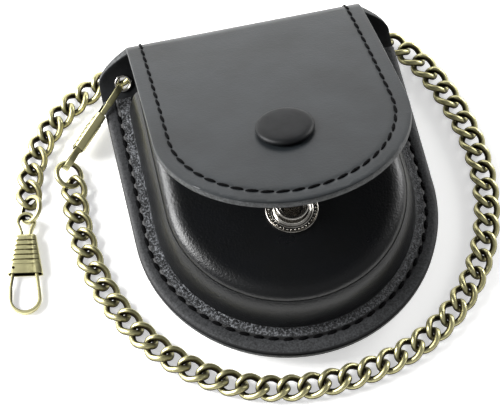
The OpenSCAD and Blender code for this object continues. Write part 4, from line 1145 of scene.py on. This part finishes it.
# Each section: how many links, and how far each turns from the one before, in degrees
ROUTE = [(6, 4.1), (6, 5.2), (6, 6.3), (6, 4.6), (6, 6.3), (6, 5.4), (6, 4), (6, 10.1), (6, 0.3), (7, 4),
         (7, 7.9)]
# The end links hang in the rings, which roll and lift them a little
END_ROLL_LIFT = {0: (2.5, 0.2), 67: (1.1, 0.15)}


def link_point(angle):
    lean = -math.radians(LINK_TWIST) * math.cos(angle)
    side = LINK_HALF_W * math.sin(angle)
    return Vector((LINK_HALF_LEN * math.cos(angle), side * math.cos(lean), side * math.sin(lean)))


def curb_link():
    """One link: a ring of wire, stretched to the twisted oval."""
    bm = bmesh.new()
    across = Matrix.Translation((ROUND_LINK_R, 0, 0)) @ Matrix.Rotation(math.pi / 2, 4, "X")
    wire = bmesh.ops.create_circle(bm, cap_ends=False, segments=12, radius=LINK_WIRE_D / 2, matrix=across)
    start = wire["verts"][:]
    loop = list({e for v in start for e in v.link_edges})
    bmesh.ops.spin(bm, geom=start + loop, cent=(0, 0, 0), axis=(0, 0, 1), angle=math.tau, steps=36,
                   use_merge=True)
    bmesh.ops.remove_doubles(bm, verts=bm.verts, dist=0.0005)
    layer = bm.verts.layers.float.new("rubbing_and_painted_light")
    for vert in bm.verts:
        angle = math.atan2(vert.co.y, vert.co.x)
        out = math.hypot(vert.co.x, vert.co.y) - ROUND_LINK_R
        up = vert.co.z
        along = (link_point(angle + 0.01) - link_point(angle - 0.01)).normalized()
        side = along.cross(Vector((0.02, 0.03, 1))).normalized()
        raised = side.cross(along)
        offset = side * out + raised * up
        centre = link_point(angle)
        # Faces turned up and outwards are painted bright, and the sides and undersides dark: part tumbled
        # brass and patina, part painted light from above and painted shade
        facing = (centre.normalized() * 0.35 + Vector((0, 0, 1))).normalized()
        vert[layer] = smooth_step(offset.normalized().dot(facing), 0.25, 0.95)
        vert.co = centre + offset
    bmesh.ops.recalc_face_normals(bm, faces=bm.faces)
    return bm


template = bpy.data.meshes.new("one_link")
link_bm = curb_link()
link_bm.to_mesh(template)
link_bm.free()
x, y, heading = CHAIN_START
number = 0
for section_number, (count, bend) in enumerate(ROUTE, 1):
    bm = bmesh.new()
    for i in range(count):
        if number > 0:
            x += LINK_PITCH / 2 * (math.cos(math.radians(heading)) + math.cos(math.radians(heading + bend)))
            y += LINK_PITCH / 2 * (math.sin(math.radians(heading)) + math.sin(math.radians(heading + bend)))
            heading += bend
        roll, lift = END_ROLL_LIFT.get(number, (0, 0))
        turn = (Matrix.Translation((x, y, LINK_Z + lift)) @ Matrix.Rotation(math.radians(heading), 4, "Z")
                @ Matrix.Rotation(math.radians(roll), 4, "X"))
        known = set(bm.verts)
        bm.from_mesh(template)
        bmesh.ops.transform(bm, matrix=turn, verts=[v for v in bm.verts if v not in known])
        number += 1
    links = new_piece(f"curb_links_{section_number:02d}", bm, antique_brass, sharp=180)
    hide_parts(f"chain_links_{section_number:02d}")
    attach(links, f"chain_{section_number:02d}")
